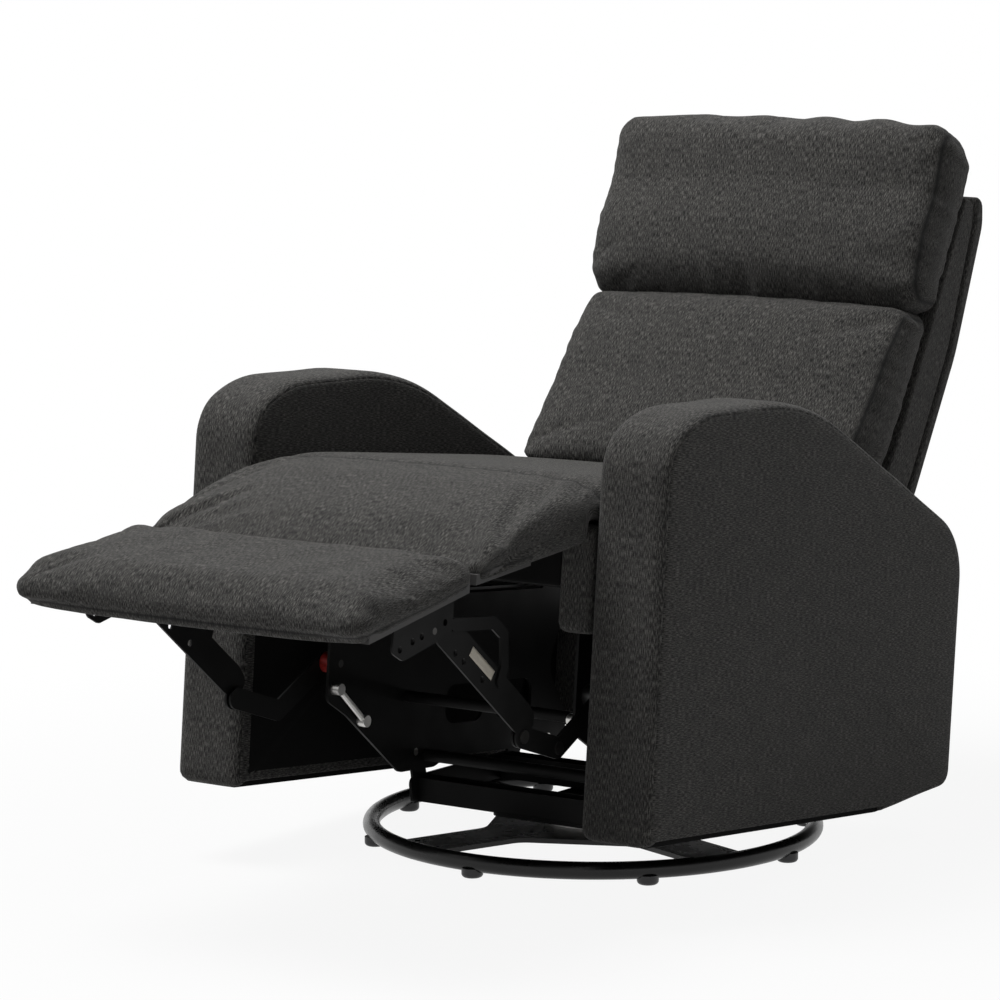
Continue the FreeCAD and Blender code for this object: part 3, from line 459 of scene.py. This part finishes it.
def arm_panel(name, middle_x, side):
    """A side panel: rings from the seam in to the centre. The face rises over PANEL_EDGE, and from
    there on it is nearly flat, with a soft crown."""
    inset = np.concatenate([np.linspace(0, PANEL_EDGE, 9), np.linspace(PANEL_EDGE, PANEL_REACH, 14)[1:]])
    scale = np.clip(1 - (ARM_SEAM_IN + inset)[None, :] / arm_support[:, None], 0.02, 1)
    scale[:, -1] = 0
    ring = ARM_CENTRE + arm_reach[:, None, :] * scale[..., None]
    rise = (ARM_HALF - ARM_SEAM_X) * soften(inset / PANEL_EDGE)
    rise += PANEL_CROWN * soften(inset / PANEL_REACH, 1.6)
    pull = 0.0005 * np.sin(ring[..., 0] * 23 + 1.3) * np.sin(ring[..., 1] * 19 + 0.4)
    x = middle_x + side * (ARM_SEAM_X + rise[None, :] + pull * (inset / PANEL_REACH)[None, :])
    points = np.concatenate([on_body(x, ring[..., 0], ring[..., 1])[:, ::-1],
                             on_body(middle_x + side * PANEL_BACK, ring[..., 0], ring[..., 1])], 1)
    cloth = np.concatenate([ring[:, ::-1, ::-1], ring[..., ::-1]], 1) + (middle_x * 3, side)
    return shell(name, points, cloth, True, False)


LINING_AND_SHADE_TO = 0.350            # just under the seat


def line_and_shade_below_seat(panel):
    """The inner face is black cambric below the seat, from a little inside the sewn edge: partly the chair's
    lining, partly painted shade where the seat shades the inner arm.
    """
    panel.data.materials.append(black_cambric)
    mesh = panel.data
    centre = np.empty(len(mesh.polygons) * 3, np.float32)
    mesh.polygons.foreach_get("center", centre)
    local = centre.reshape(-1, 3) - body_origin
    u, w = local @ rearward, local @ upward
    # Black cambric below the seat: partly real lining, partly painted shade under the seat.
    lined_and_shaded = (w < LINING_AND_SHADE_TO) & (w > 0.020) & (u > 0.018) & (u < 0.690)
    mesh.polygons.foreach_set("material_index", lined_and_shaded.astype(np.int32))


for side_name, side in (("right", 1), ("left", -1)):
    middle = side * (cad_box[1][0] - ARM_HALF)
    band = arm_band("arm_band_cover_" + side_name, middle)
    upholster(band, "chair_body", "arm_band_" + side_name)
    for panel_name, face in (("outer", side), ("inner", -side)):
        panel = arm_panel(f"arm_{panel_name}_cover_{side_name}", middle, face)
        upholster(panel, "chair_body", f"arm_{panel_name}_panel_{side_name}")
        if panel_name == "inner":
            line_and_shade_below_seat(panel)

# ------------------------------------------------------------------------------------------
# Seat box sides and rear apron. Softwood rails and a board wrapped in the same linen over
# thin wadding, screwed to the mechanism and between the arms.

def nearest_on(spine, line):
    """For each point of a line, the nearest point of a spine, which is one point or a polyline."""
    spine = np.array(spine, float)
    if len(spine) > 1:
        spine = evenly(spine, 240, False)
    gap = np.linalg.norm(line[:, None] - spine[None], axis=2)
    return spine[np.argmin(gap, axis=1)]


def pillow(name, place, line, spine, half, middle=0.0, edge=0.010, crown=0.0, side_bulge=0.0,
           columns=28):
    """A closed padded form: an outline carried along x over middle +- half. The outline swells by
    crown between the ends, is drawn in over a quarter circle of radius edge at each end, and the
    end faces close onto the spine, bulging by side_bulge."""
    reach = line - nearest_on(spine, line)
    support = np.maximum(np.sum(reach * outward(line), axis=1), 1e-4)
    turn = np.linspace(0, math.pi / 2, 6)[1:]
    flat = np.linspace(-1, 1, columns)
    x = np.concatenate([(-half + edge * (1 - np.sin(turn[::-1]))), flat * (half - edge),
                        (half - edge * (1 - np.sin(turn)))])
    inset = np.concatenate([edge * (1 - np.cos(turn[::-1])), 0 * flat, edge * (1 - np.cos(turn))])
    shrink = np.clip(1 - inset[None, :] / support[:, None], 0.0, None)
    close = np.linspace(0, 1, 9)[:-1]
    ends = shrink[:, :1] * close[None, :], shrink[:, -1:] * close[None, ::-1]
    bulge = side_bulge * (1 - close ** 2)
    shrink = np.concatenate([ends[0], shrink, ends[1]], 1)
    x = np.concatenate([-half - bulge, x, (half + bulge[::-1])])
    swell = crown * np.clip(1 - (x / (half - edge)) ** 2, 0, 1)
    ring = line[:, None] - reach[:, None] * (1 - shrink[..., None]) + outward(line)[:, None] * swell[:, None]
    x = x + middle
    run = np.linspace(0, 1, len(line)) * np.linalg.norm(np.diff(line, axis=0), axis=1).sum()
    inward = np.linalg.norm(reach, axis=1)[:, None] * (1 - shrink) * np.sign(x - middle)
    cloth = np.stack(np.broadcast_arrays(x + inward, run[:, None]), -1)
    points = place(np.broadcast_to(x, ring.shape[:2]), ring[..., 0], ring[..., 1])
    return shell(name, points, cloth, True, False)


def rail_line(u0, u1, w0, w1, radius, step):
    """A rectangle with rounded corners."""
    return rounded_line([(u0, w0, radius), (u0, w1, radius), (u1, w1, radius), (u1, w0, radius)], step)


rail_x = abs(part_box("seat_side_rails")[0][0])
side_cover = rail_line(0.001, 0.527, 0.239, 0.3655, 0.012, 0.008)
for side_name, side in (("right", 1), ("left", -1)):
    cover = pillow("seat_side_cover_" + side_name, on_body, side_cover, [(0.06, 0.30), (0.46, 0.30)],
                   0.0232, side * (rail_x - 0.0225), edge=0.008, crown=0.0005, columns=8)
    upholster(cover, "seat", "seat_side_rails")

front_line = rounded_line([(-0.033, 0.3490, 0.005), (-0.033, 0.3650, 0.003), (0.028, 0.3650, 0.003),
                           (0.028, 0.2900, 0.006), (0.0035, 0.2900, 0.006), (0.0035, 0.3480, 0.004)], 0.003)
front_cover = pillow("seat_front_cover", on_body, front_line,
                     [(-0.025, 0.357), (0.016, 0.357), (0.016, 0.300)],
                     rail_x - 0.045, edge=0.002, columns=40)
front_cover.data.materials.append(black_cambric)
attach(front_cover, "seat")

apron = pillow("rear_apron_cover", on_body, rail_line(0.681, 0.7045, 0.039, 0.206, 0.008, 0.006),
               [(0.6925, 0.055), (0.6925, 0.19)], 0.2535, edge=0.006, crown=0.002, columns=40)
upholster(apron, "chair_body", "rear_apron")

# ------------------------------------------------------------------------------------------
# Cushions of the seat, flap and footrest. Foam in a sewn linen cover, fuller in the middle and
# drawn in at the seams; each is stapled round its board or rails, which keep it flat below.

CLOTH_STEPS = 20


def plump(obj, voxel, cap, hold, pressure=4.0):
    """Blows a cushion up as cloth under pressure: remeshed, then CLOTH_STEPS steps without gravity,
    with the points where hold is 1 kept still. Each point's move is eased off towards cap by a tanh,
    and the result is subdivided once."""
    remesh = obj.modifiers.new("remesh", "REMESH")
    remesh.mode, remesh.voxel_size = "VOXEL", voxel
    bpy.context.view_layer.update()
    solid = bpy.data.meshes.new_from_object(obj.evaluated_get(bpy.context.evaluated_depsgraph_get()))
    obj.modifiers.clear()
    obj.data = solid
    rest = np.empty(len(solid.vertices) * 3, np.float32)
    solid.vertices.foreach_get("co", rest)
    rest = rest.reshape(-1, 3)
    keep = hold(rest)
    group = obj.vertex_groups.new(name="held")
    for k in np.nonzero(keep > 0.02)[0]:
        group.add([int(k)], float(keep[k]), "REPLACE")
    cloth = obj.modifiers.new("cloth", "CLOTH")
    cloth.settings.quality = 4
    cloth.settings.vertex_group_mass = "held"
    cloth.settings.use_pressure = True
    cloth.settings.uniform_pressure_force = pressure
    cloth.settings.effector_weights.gravity = 0
    cloth.point_cache.frame_start, cloth.point_cache.frame_end = 1, CLOTH_STEPS
    for step in range(1, CLOTH_STEPS + 1):
        bpy.context.scene.frame_set(step)
    blown = bpy.data.meshes.new_from_object(obj.evaluated_get(bpy.context.evaluated_depsgraph_get()))
    moved = np.empty_like(rest)
    blown.vertices.foreach_get("co", moved.ravel())
    obj.modifiers.clear()
    obj.vertex_groups.clear()
    bpy.context.scene.frame_set(1)
    shift = moved.reshape(-1, 3) - rest
    size = np.linalg.norm(shift, axis=1, keepdims=True) + 1e-9
    rest = rest + shift / size * cap * np.tanh(size / cap)
    solid.vertices.foreach_set("co", rest.astype(np.float32).ravel())
    finer = obj.modifiers.new("finer", "SUBSURF")
    finer.levels = finer.render_levels = 1
    bpy.context.view_layer.update()
    obj.data = bpy.data.meshes.new_from_object(obj.evaluated_get(bpy.context.evaluated_depsgraph_get()))
    obj.modifiers.clear()
    obj.data.polygons.foreach_set("use_smooth", np.ones(len(obj.data.polygons), bool))
    return obj


def vertices(obj):
    """Positions and normals of a mesh as arrays."""
    mesh = obj.data
    place, normal = (np.empty(len(mesh.vertices) * 3, np.float32) for _ in range(2))
    mesh.vertices.foreach_get("co", place)
    mesh.vertex_normals.foreach_get("vector", normal)
    return place.reshape(-1, 3).astype(float), normal.reshape(-1, 3).astype(float)


def from_body(world):
    """World to body axes: x, u, w."""
    local = world - body_origin
    return local[:, 0], local @ rearward, local @ upward


def sew(obj, place, lines, cloth, normal):
    """Presses seams into a cushion. Each of lines is (distance to the seam, depth, width): the
    surface sinks by depth times a bell curve, and painted shade darkens the seam line over a third of it."""
    dark = np.zeros(len(place))
    for distance, depth, width in lines:
        place = place - normal * (depth * np.exp(-(distance / width) ** 2))[:, None]
        # painted shade along the seam groove, carried by the seam attribute
        dark = np.maximum(dark, np.exp(-(distance / (0.3 * width)) ** 2))
    mesh = obj.data
    mesh.vertices.foreach_set("co", place.astype(np.float32).ravel())
    layers = ("cloth", "FLOAT_VECTOR", "vector", cloth), ("seam", "FLOAT", "value", dark)
    for name, kind, field, values in layers:
        layer = mesh.attributes.get(name) or mesh.attributes.new(name, kind, "POINT")
        layer.data.foreach_set(field, np.asarray(values, np.float32).ravel())
    mesh.update()


def creases(a, b, seed, count, short, long):
    """Random soft creases: a sum of sines with wavelengths from short to long, mostly along b."""
    rng = np.random.default_rng(seed)
    total = np.zeros_like(a)
    for _ in range(count):
        wave = rng.uniform(short, long)
        lean = rng.normal(0, 0.35)
        total += np.sin(2 * math.pi * (a + lean * b) / wave + rng.uniform(0, 6.3)) / count ** 0.5
    return total


def along_profile(line, a, b):
    """How far along a profile each point's nearest point of it is, and how far away, in metres."""
    fine = evenly(line, 900, True)
    length = np.linalg.norm(np.diff(fine, axis=0), axis=1).sum()
    at, away = np.empty(len(a)), np.empty(len(a))
    for k in range(0, len(a), 20000):
        part = slice(k, k + 20000)
        gap = (a[part, None] - fine[None, :, 0]) ** 2 + (b[part, None] - fine[None, :, 1]) ** 2
        at[part] = np.argmin(gap, axis=1) * length / len(fine)
        away[part] = np.sqrt(gap.min(axis=1))
    return at, away


def lay_cloth(line, half, x, a, b):
    """The weave on a cushion: along the profile, and across it, running on inwards over the ends."""
    at, away = along_profile(line, a, b)
    end = np.clip((np.abs(x) - half + 0.012) / 0.006, 0, 1)
    return np.stack([x + np.sign(x) * away * end, at, 0 * x], 1)


def sewn_edge(line, half, x, a, b):
    """True along the side seams, which hold their shape: close to the outline and to an end."""
    return (np.abs(x) > half - 0.010) & (along_profile(line, a, b)[1] < 0.014)


SEAT_HALF = 0.250
SEAT_WIDEST = SEAT_HALF + 0.001     # what the arms leave room for
SEAT_CROWN = 0.004
RAIL_TOP = 0.3725           # the cover is stapled to the seat rails below this
SEAM_U = 0.020              # the front panel runs back over the seat to this seam


def under_flap(u):
    """Height of the flap board's underside."""
    return 0.303 + (u + 0.227) * 0.18


seat_line = rounded_line([(0.556, 0.3705, 0.008), (-0.004, 0.3705, 0.004),
                          (-0.004, under_flap(-0.004), 0.006),
                          (-0.2245, under_flap(-0.2245), 0.004),
                          (-0.2245, 0.326, 0.010), (-0.190, 0.350, 0.050),
                          (-0.120, 0.376, 0.060), (-0.055, 0.397, 0.200), (0.040, 0.410, 0.300),
                          (0.420, 0.402, 0.300), (0.520, 0.396, 0.060), (0.556, 0.386, 0.012)], 0.006)
seat_pad = pillow("seat_cover", on_body, seat_line,
                  [(0.530, 0.382), (-0.005, 0.380), (-0.060, 0.368), (-0.115, 0.350), (-0.205, 0.322)],
                  SEAT_WIDEST, edge=0.020)


def seat_held(points):
    """Stapled below to the rails and the flap board."""
    x, u, w = from_body(points)
    below = np.where(u > -0.010, w < RAIL_TOP, w < under_flap(u) + 0.003)
    return below.astype(float)


plump(seat_pad, 0.006, 0.010, seat_held, pressure=3.0)
place, normal = vertices(seat_pad)
x, u, w = from_body(place)
place[:, 0] = np.clip(place[:, 0], -SEAT_WIDEST, SEAT_WIDEST)
front = np.abs(w - 0.315) * 0.3 + np.clip(u + 0.2245, 0, 1)
gather = creases(x, u, 5, 12, 0.009, 0.030) * 0.0008 * np.exp(-front / 0.016)
gather += creases(x, u, 3, 9, 0.012, 0.045) * 0.0004 * np.exp(-np.abs(u - SEAM_U) / 0.020)
place += normal * gather[:, None]
facing_up = normal @ upward
place += (SEAT_CROWN * (1 - (x / SEAT_HALF) ** 2) * np.clip(facing_up, 0, 1))[:, None] * upward
panel_seam = np.abs(u - SEAM_U - 0.002 * np.sin(x * 9)) + 10 * (facing_up < 0.5)
hem = np.abs(w - under_flap(u) - 0.012) + 10 * (facing_up > 0.6) + 10 * (u > -0.12)
sew(seat_pad, place, [(panel_seam, 0.0018, 0.008), (hem, 0.0014, 0.006)],
    lay_cloth(seat_line, SEAT_HALF, x, u, w), normal)
upholster(seat_pad, "", "seat_cushion", "flap_pad", fill=0.75)
on_body(0.0, -0.050, 0.385).tolist()
on_body(0.0, -0.108, 0.372).tolist()
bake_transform(seat_pad)


def under_foot(u):
    """Height of the footrest board's underside."""
    return 0.245 + (u + 0.422) * 0.27


foot_line = rounded_line([(-0.2280, under_foot(-0.2280), 0.004), (-0.420, under_foot(-0.420), 0.008),
                          (-0.445, 0.253, 0.012), (-0.451, 0.272, 0.016), (-0.413, 0.301, 0.030),
                          (-0.250, 0.335, 0.012), (-0.2280, 0.329, 0.006)], 0.006)
foot = pillow("footrest_cover", on_body, foot_line, [(-0.245, 0.312), (-0.420, 0.272)],
              SEAT_HALF + 0.003, edge=0.026)


def foot_held(points):
    """Stapled round the board below."""
    x, u, w = from_body(points)
    return (w < under_foot(u) + 0.003).astype(float)


plump(foot, 0.005, 0.008, foot_held, pressure=2.5)
place, normal = vertices(foot)
x, u, w = from_body(place)
place[:, 0] = np.clip(place[:, 0], -SEAT_WIDEST, SEAT_WIDEST)
rear_seam = np.clip(-0.229 - u, 0, 1)
gather = creases(x, u, 7, 12, 0.010, 0.034) * 0.0007 * np.exp(-rear_seam / 0.016)
gather += creases(x, u, 8, 5, 0.050, 0.120) * 0.0009 * np.exp(-((u + 0.33) / 0.07) ** 2)
place += normal * gather[:, None]
hem = np.abs(w - under_foot(u) - 0.010) + 10 * (normal @ upward > 0.6)
sew(foot, place, [(hem, 0.0018, 0.006)], lay_cloth(foot_line, SEAT_HALF, x, u, w), normal)
upholster(foot, "footrest", "footrest_pad", fill=0.8)

# ------------------------------------------------------------------------------------------
# Outside back, its side bands and a strip over the top rail. Linen over thin wadding on the back
# frame, closed with a blind seam down each rear edge; the side bands show beside the cushions.

LEAN = math.radians(19.0)
back_up = upward * math.cos(LEAN) + rearward * math.sin(LEAN)
back_out = rearward * math.cos(LEAN) - upward * math.sin(LEAN)


def on_back(x, v, s):
    """Back axes to world: x sideways, v rearward from the recline pivot, s up along the back."""
    x, v, s = np.broadcast_arrays(x, v, s)
    return x[..., None] * sideways + v[..., None] * back_out + s[..., None] * back_up + recline_at


def from_back(world):
    """World to back axes: x, v, s."""
    local = world - recline_at
    return local[:, 0], local @ back_out, local @ back_up


BACK_HALF = 0.248
CUSHION_HALF = 0.2525
HEAD_HALF = 0.260
outside = rounded_line([(0.0526, -0.010, 0.003), (0.067, -0.010, 0.004), (0.0995, 0.130, 0.200),
                        (0.1220, 0.330, 0.250), (0.1160, 0.512, 0.050), (0.102, 0.541, 0.014),
                        (0.086, 0.541, 0.002),
                        (0.0946, 0.505, 0.030), (0.1046, 0.330, 0.200), (0.0846, 0.150, 0.200)], 0.006)
shell_cover = pillow("outside_back_cover", on_back, outside,
                     [(0.060, -0.004), (0.077, 0.070), (0.092, 0.145), (0.106, 0.240), (0.1115, 0.330),
                      (0.1085, 0.420), (0.101, 0.505), (0.093, 0.532)],
                     BACK_HALF + 0.002, edge=0.005, crown=0.003, columns=44)
upholster(shell_cover, "back", "back_shell")
STILE_HALF = 0.0277
top_cover = pillow("back_top_cover", on_back, rail_line(0.050, 0.090, 0.500, 0.534, 0.005, 0.004),
                   [(0.066, 0.517), (0.075, 0.517)], 0.196, edge=0.003, crown=0.0008, columns=40)
upholster(top_cover, "back")
band_line = rounded_line([(0.0115, -0.008, 0.003), (0.050, -0.008, 0.003), (0.082, 0.150, 0.200),
                          (0.102, 0.330, 0.200), (0.092, 0.503, 0.030), (0.082, 0.530, 0.008),
                          (0.058, 0.530, 0.004), (0.044, 0.340, 0.100),
                          (0.031, 0.205, 0.060), (0.013, 0.100, 0.030)], 0.006)
for side_name, side in (("right", 1), ("left", -1)):
    side_band = pillow("back_side_band_" + side_name, on_back, band_line,
                       [(0.031, 0.02), (0.046, 0.120), (0.064, 0.230),
                        (0.074, 0.330), (0.073, 0.420), (0.071, 0.510)],
                       STILE_HALF, side * (BACK_HALF - STILE_HALF), edge=0.004, columns=10)
    upholster(side_band, "back", "back_side_pads", "back_stiles")

# ------------------------------------------------------------------------------------------
# Back and head cushions. Boxed covers filled with fibre, crowned in front, with a seam round
# each side; the head cushion is the fuller one and its lower edge rests on the back cushion.

back_line = rounded_line([(-0.004, 0.122, 0.012), (-0.099, 0.070, 0.010), (-0.098, 0.100, 0.060),
                          (-0.086, 0.146, 0.060), (-0.068, 0.212, 0.080), (-0.055, 0.276, 0.080),
                          (-0.030, 0.344, 0.020), (0.036, 0.356, 0.008), (0.0425, 0.330, 0.002),
                          (0.029, 0.205, 0.005), (0.012, 0.108, 0.004)], 0.006)
lumbar = pillow("back_cushion_cover", on_back, back_line,
                [(-0.040, 0.125), (-0.022, 0.205), (-0.004, 0.270), (0.014, 0.325)],
                CUSHION_HALF, edge=0.030, crown=0.007)


def cushion_held(points, line, half, rear, rise):
    """Fixed to the frame behind, and held by the side seams."""
    x, v, s = from_back(points)
    return ((v > rear + rise * s) | sewn_edge(line, half, x, v, s)).astype(float)


plump(lumbar, 0.006, 0.011, lambda p: cushion_held(p, back_line, CUSHION_HALF, -0.006, 0.13))
place, normal = vertices(lumbar)
x, v, s = from_back(place)
place[:, 0] = np.clip(place[:, 0], -CUSHION_HALF - 0.0005, CUSHION_HALF + 0.0005)
gather = creases(s, x, 11, 8, 0.020, 0.060) * 0.0006 * np.exp(-np.clip(BACK_HALF - np.abs(x), 0, 1) / 0.020)
place += normal * gather[:, None]
front_edge = np.abs(np.abs(x) - (CUSHION_HALF - 0.007)) + 10 * (normal @ back_out > 0.3)
sew(lumbar, place, [(front_edge, 0.0012, 0.006)], lay_cloth(back_line, CUSHION_HALF, x, v, s), normal)
upholster(lumbar, "back", "back_cushion", fill=0.8)

head_line = rounded_line([(-0.006, 0.343, 0.016), (0.044, 0.356, 0.006), (0.057, 0.530, 0.004),
                          (0.057, 0.568, 0.022),
                          (0.020, 0.596, 0.032), (-0.047, 0.596, 0.022), (-0.053, 0.560, 0.040),
                          (-0.045, 0.500, 0.060), (-0.053, 0.440, 0.040), (-0.042, 0.362, 0.030)], 0.006)
head = pillow("head_cushion_cover", on_back, head_line, [(0.004, 0.390), (0.006, 0.470), (0.004, 0.555)],
              HEAD_HALF, edge=0.036, crown=0.008)
plump(head, 0.006, 0.012, lambda p: cushion_held(p, head_line, HEAD_HALF, 0.022, 0.05))
place, normal = vertices(head)
x, v, s = from_back(place)
place[:, 0] = np.clip(place[:, 0], -HEAD_HALF - 0.003, HEAD_HALF + 0.003)
near_side = np.exp(-np.clip(BACK_HALF - np.abs(x), 0, 1) / 0.022)
gather = creases(s, x, 13, 9, 0.016, 0.050) * 0.0008 * near_side
gather += creases(x, s, 14, 7, 0.040, 0.120) * 0.0016 * np.exp(-np.clip(0.600 - s, 0, 1) / 0.030)
gather += creases(x, s, 15, 7, 0.030, 0.090) * 0.0014 * np.exp(-np.clip(s - 0.352, 0, 1) / 0.025)
place += normal * gather[:, None]
front_edge = np.abs(np.abs(x) - (HEAD_HALF - 0.007)) + 10 * (normal @ back_out > 0.3)
sew(head, place, [(front_edge, 0.0014, 0.006)], lay_cloth(head_line, HEAD_HALF, x, v, s), normal)
upholster(head, "back", "head_cushion", fill=0.85)

# ------------------------------------------------------------------------------------------
# Blank sticker on the right front link. It is pale coated paper, stuck by its glue to the outer
# face, along the link's upper edge.

def coated_paper(name):
    """Pale paper with faint fibre and a slight shine."""
    material, tree, skin = finish_named(name, 0.5)
    place = add(tree, "TexCoord", {}).outputs["Object"]
    fibre = add(tree, "TexNoise", {"Vector": place, "Scale": 350.0, "Detail": 4.0}).outputs["Fac"]
    shade = add(tree, "MixRGB", {"Fac": fibre, "Color1": (0.50, 0.46, 0.38, 1),
                                 "Color2": (0.62, 0.58, 0.50, 1)})
    tree.links.new(shade.outputs[0], skin.inputs["Base Color"])
    return material


foot_pin, lower_pin = np.array([-0.265, 0.253]), np.array([-0.071, 0.1215])
link_way = (lower_pin - foot_pin) / np.linalg.norm(lower_pin - foot_pin)
link_side = np.array([-link_way[1], link_way[0]])
STICKER_ALONG, STICKER_ACROSS = (0.0815, 0.136), (0.0170, 0.0292)   # from the foot pin
t, n = np.meshgrid(np.linspace(*STICKER_ALONG, 25), np.linspace(*STICKER_ACROSS, 5), indexing="ij")
flat = foot_pin + t[..., None] * link_way + n[..., None] * link_side
link_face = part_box("front_links")[1][0]
lift = 0.00025 + 0.0002 * np.abs(np.sin(t * 130))
faces = [on_body(link_face + lift, flat[..., 0], flat[..., 1]),
         on_body(link_face + 0 * lift, flat[..., 0], flat[..., 1])]
ring = np.concatenate([faces[0], faces[1][:, ::-1]], 1)
ring = np.concatenate([np.broadcast_to(ring[:1].mean(1, keepdims=True), (1,) + ring.shape[1:]), ring,
                       np.broadcast_to(ring[-1:].mean(1, keepdims=True), (1,) + ring.shape[1:])])
sticker = shell("link_sticker", ring, np.zeros(ring.shape[:2] + (2,)), False, True, 1e-7)
sticker.data.materials.append(coated_paper("blank_sticker_paper"))
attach(sticker, "front_links")

# ------------------------------------------------------------------------------------------
# Floor, light and camera. A pale floor that fades to plain white, one large soft lamp high in
# front on the left, a weaker one on the right and one behind.

NEAR_WHITE = 0.91           # how much of the floor's shade is lost to the camera beside the chair


def pale_floor():
    """Matt white near the chair; further out it shows plain white to the camera."""
    material = bpy.data.materials.new("pale_floor")
    material.use_nodes = True
    tree = material.node_tree
    skin = tree.nodes["Principled BSDF"]
    skin.inputs["Base Color"].default_value = (0.60, 0.60, 0.60, 1)
    skin.inputs["Roughness"].default_value = 0.9
    skin.inputs["Specular IOR Level"].default_value = 0.1
    place = add(tree, "TexCoord", {}).outputs["Object"]
    away = add(tree, "VectorMath", {0: place}, operation="LENGTH").outputs["Value"]
    fade = add(tree, "MapRange", {"Value": away, "From Min": 0.55, "From Max": 1.5},
               interpolation_type="SMOOTHSTEP").outputs[0]
    rays = add(tree, "LightPath", {})
    seen = add(tree, "Math", {0: rays.outputs["Is Camera Ray"], 1: rays.outputs["Is Glossy Ray"]},
               operation="MAXIMUM").outputs[0]
    seen = add(tree, "Math", {0: seen, 1: rays.outputs["Is Transmission Ray"]},
               operation="MAXIMUM").outputs[0]
    bright = add(tree, "MapRange", {"Value": fade, "To Min": NEAR_WHITE, "To Max": 1.0}).outputs[0]
    share = add(tree, "Math", {0: seen, 1: bright}, operation="MULTIPLY").outputs[0]
    white = add(tree, "Emission", {"Color": (1, 1, 1, 1), "Strength": 1.0}).outputs[0]
    mix = add(tree, "MixShader", {0: share, 1: skin.outputs[0], 2: white})
    tree.links.new(mix.outputs[0], tree.nodes["Material Output"].inputs["Surface"])
    return material


bpy.ops.mesh.primitive_circle_add(vertices=96, radius=40, fill_type="NGON")
floor = bpy.context.object
floor.name = "floor"
floor.data.materials.append(pale_floor())

world = bpy.data.worlds.new("studio")
bpy.context.scene.world = world
world.use_nodes = True
sky = world.node_tree
rays = add(sky, "LightPath", {})
seen = add(sky, "Math", {0: rays.outputs["Is Camera Ray"], 1: rays.outputs["Is Glossy Ray"]},
           operation="MAXIMUM").outputs[0]
seen = add(sky, "Math", {0: seen, 1: rays.outputs["Is Transmission Ray"]}, operation="MAXIMUM").outputs[0]
level = add(sky, "MapRange", {"Value": seen, "To Min": 0.065, "To Max": 1.0}).outputs[0]
sky.links.new(level, sky.nodes["Background"].inputs["Strength"])
sky.nodes["Background"].inputs["Color"].default_value = (1, 1, 1, 1)


def soft_lamp(name, place, size, power, aim=(0, 0, 0.45)):
    """A square area lamp turned towards the chair."""
    lamp = bpy.data.lights.new(name, "AREA")
    lamp.size, lamp.energy = size, power
    obj = bpy.data.objects.new(name, lamp)
    obj.location = place
    obj.rotation_euler = (Vector(aim) - Vector(place)).to_track_quat("-Z", "Y").to_euler()
    bpy.context.scene.collection.objects.link(obj)


soft_lamp("key_lamp", (-1.45, -1.15, 4.5), 2.4, 250)
soft_lamp("fill_lamp", (3.4, -2.4, 2.2), 2.2, 11)
soft_lamp("rear_lamp", (0.6, 3.0, 3.2), 2.2, 34)

CAMERA_AWAY, CAMERA_HIGH = 5.232, 1.1455
CAMERA_ROUND, CAMERA_TURN, CAMERA_DOWN = (math.radians(a) for a in (33.81, 35.11, 7.76))
camera = bpy.data.objects.new("camera", bpy.data.cameras.new("camera"))
camera.data.lens, camera.data.sensor_width = 150.2, 36.0
camera.location = (CAMERA_AWAY * math.sin(CAMERA_ROUND), -CAMERA_AWAY * math.cos(CAMERA_ROUND), CAMERA_HIGH)
camera.rotation_euler = (math.pi / 2 - CAMERA_DOWN, 0, CAMERA_TURN)
bpy.context.scene.collection.objects.link(camera)
bpy.context.scene.camera = camera
bpy.context.scene.view_settings.view_transform = "Standard"
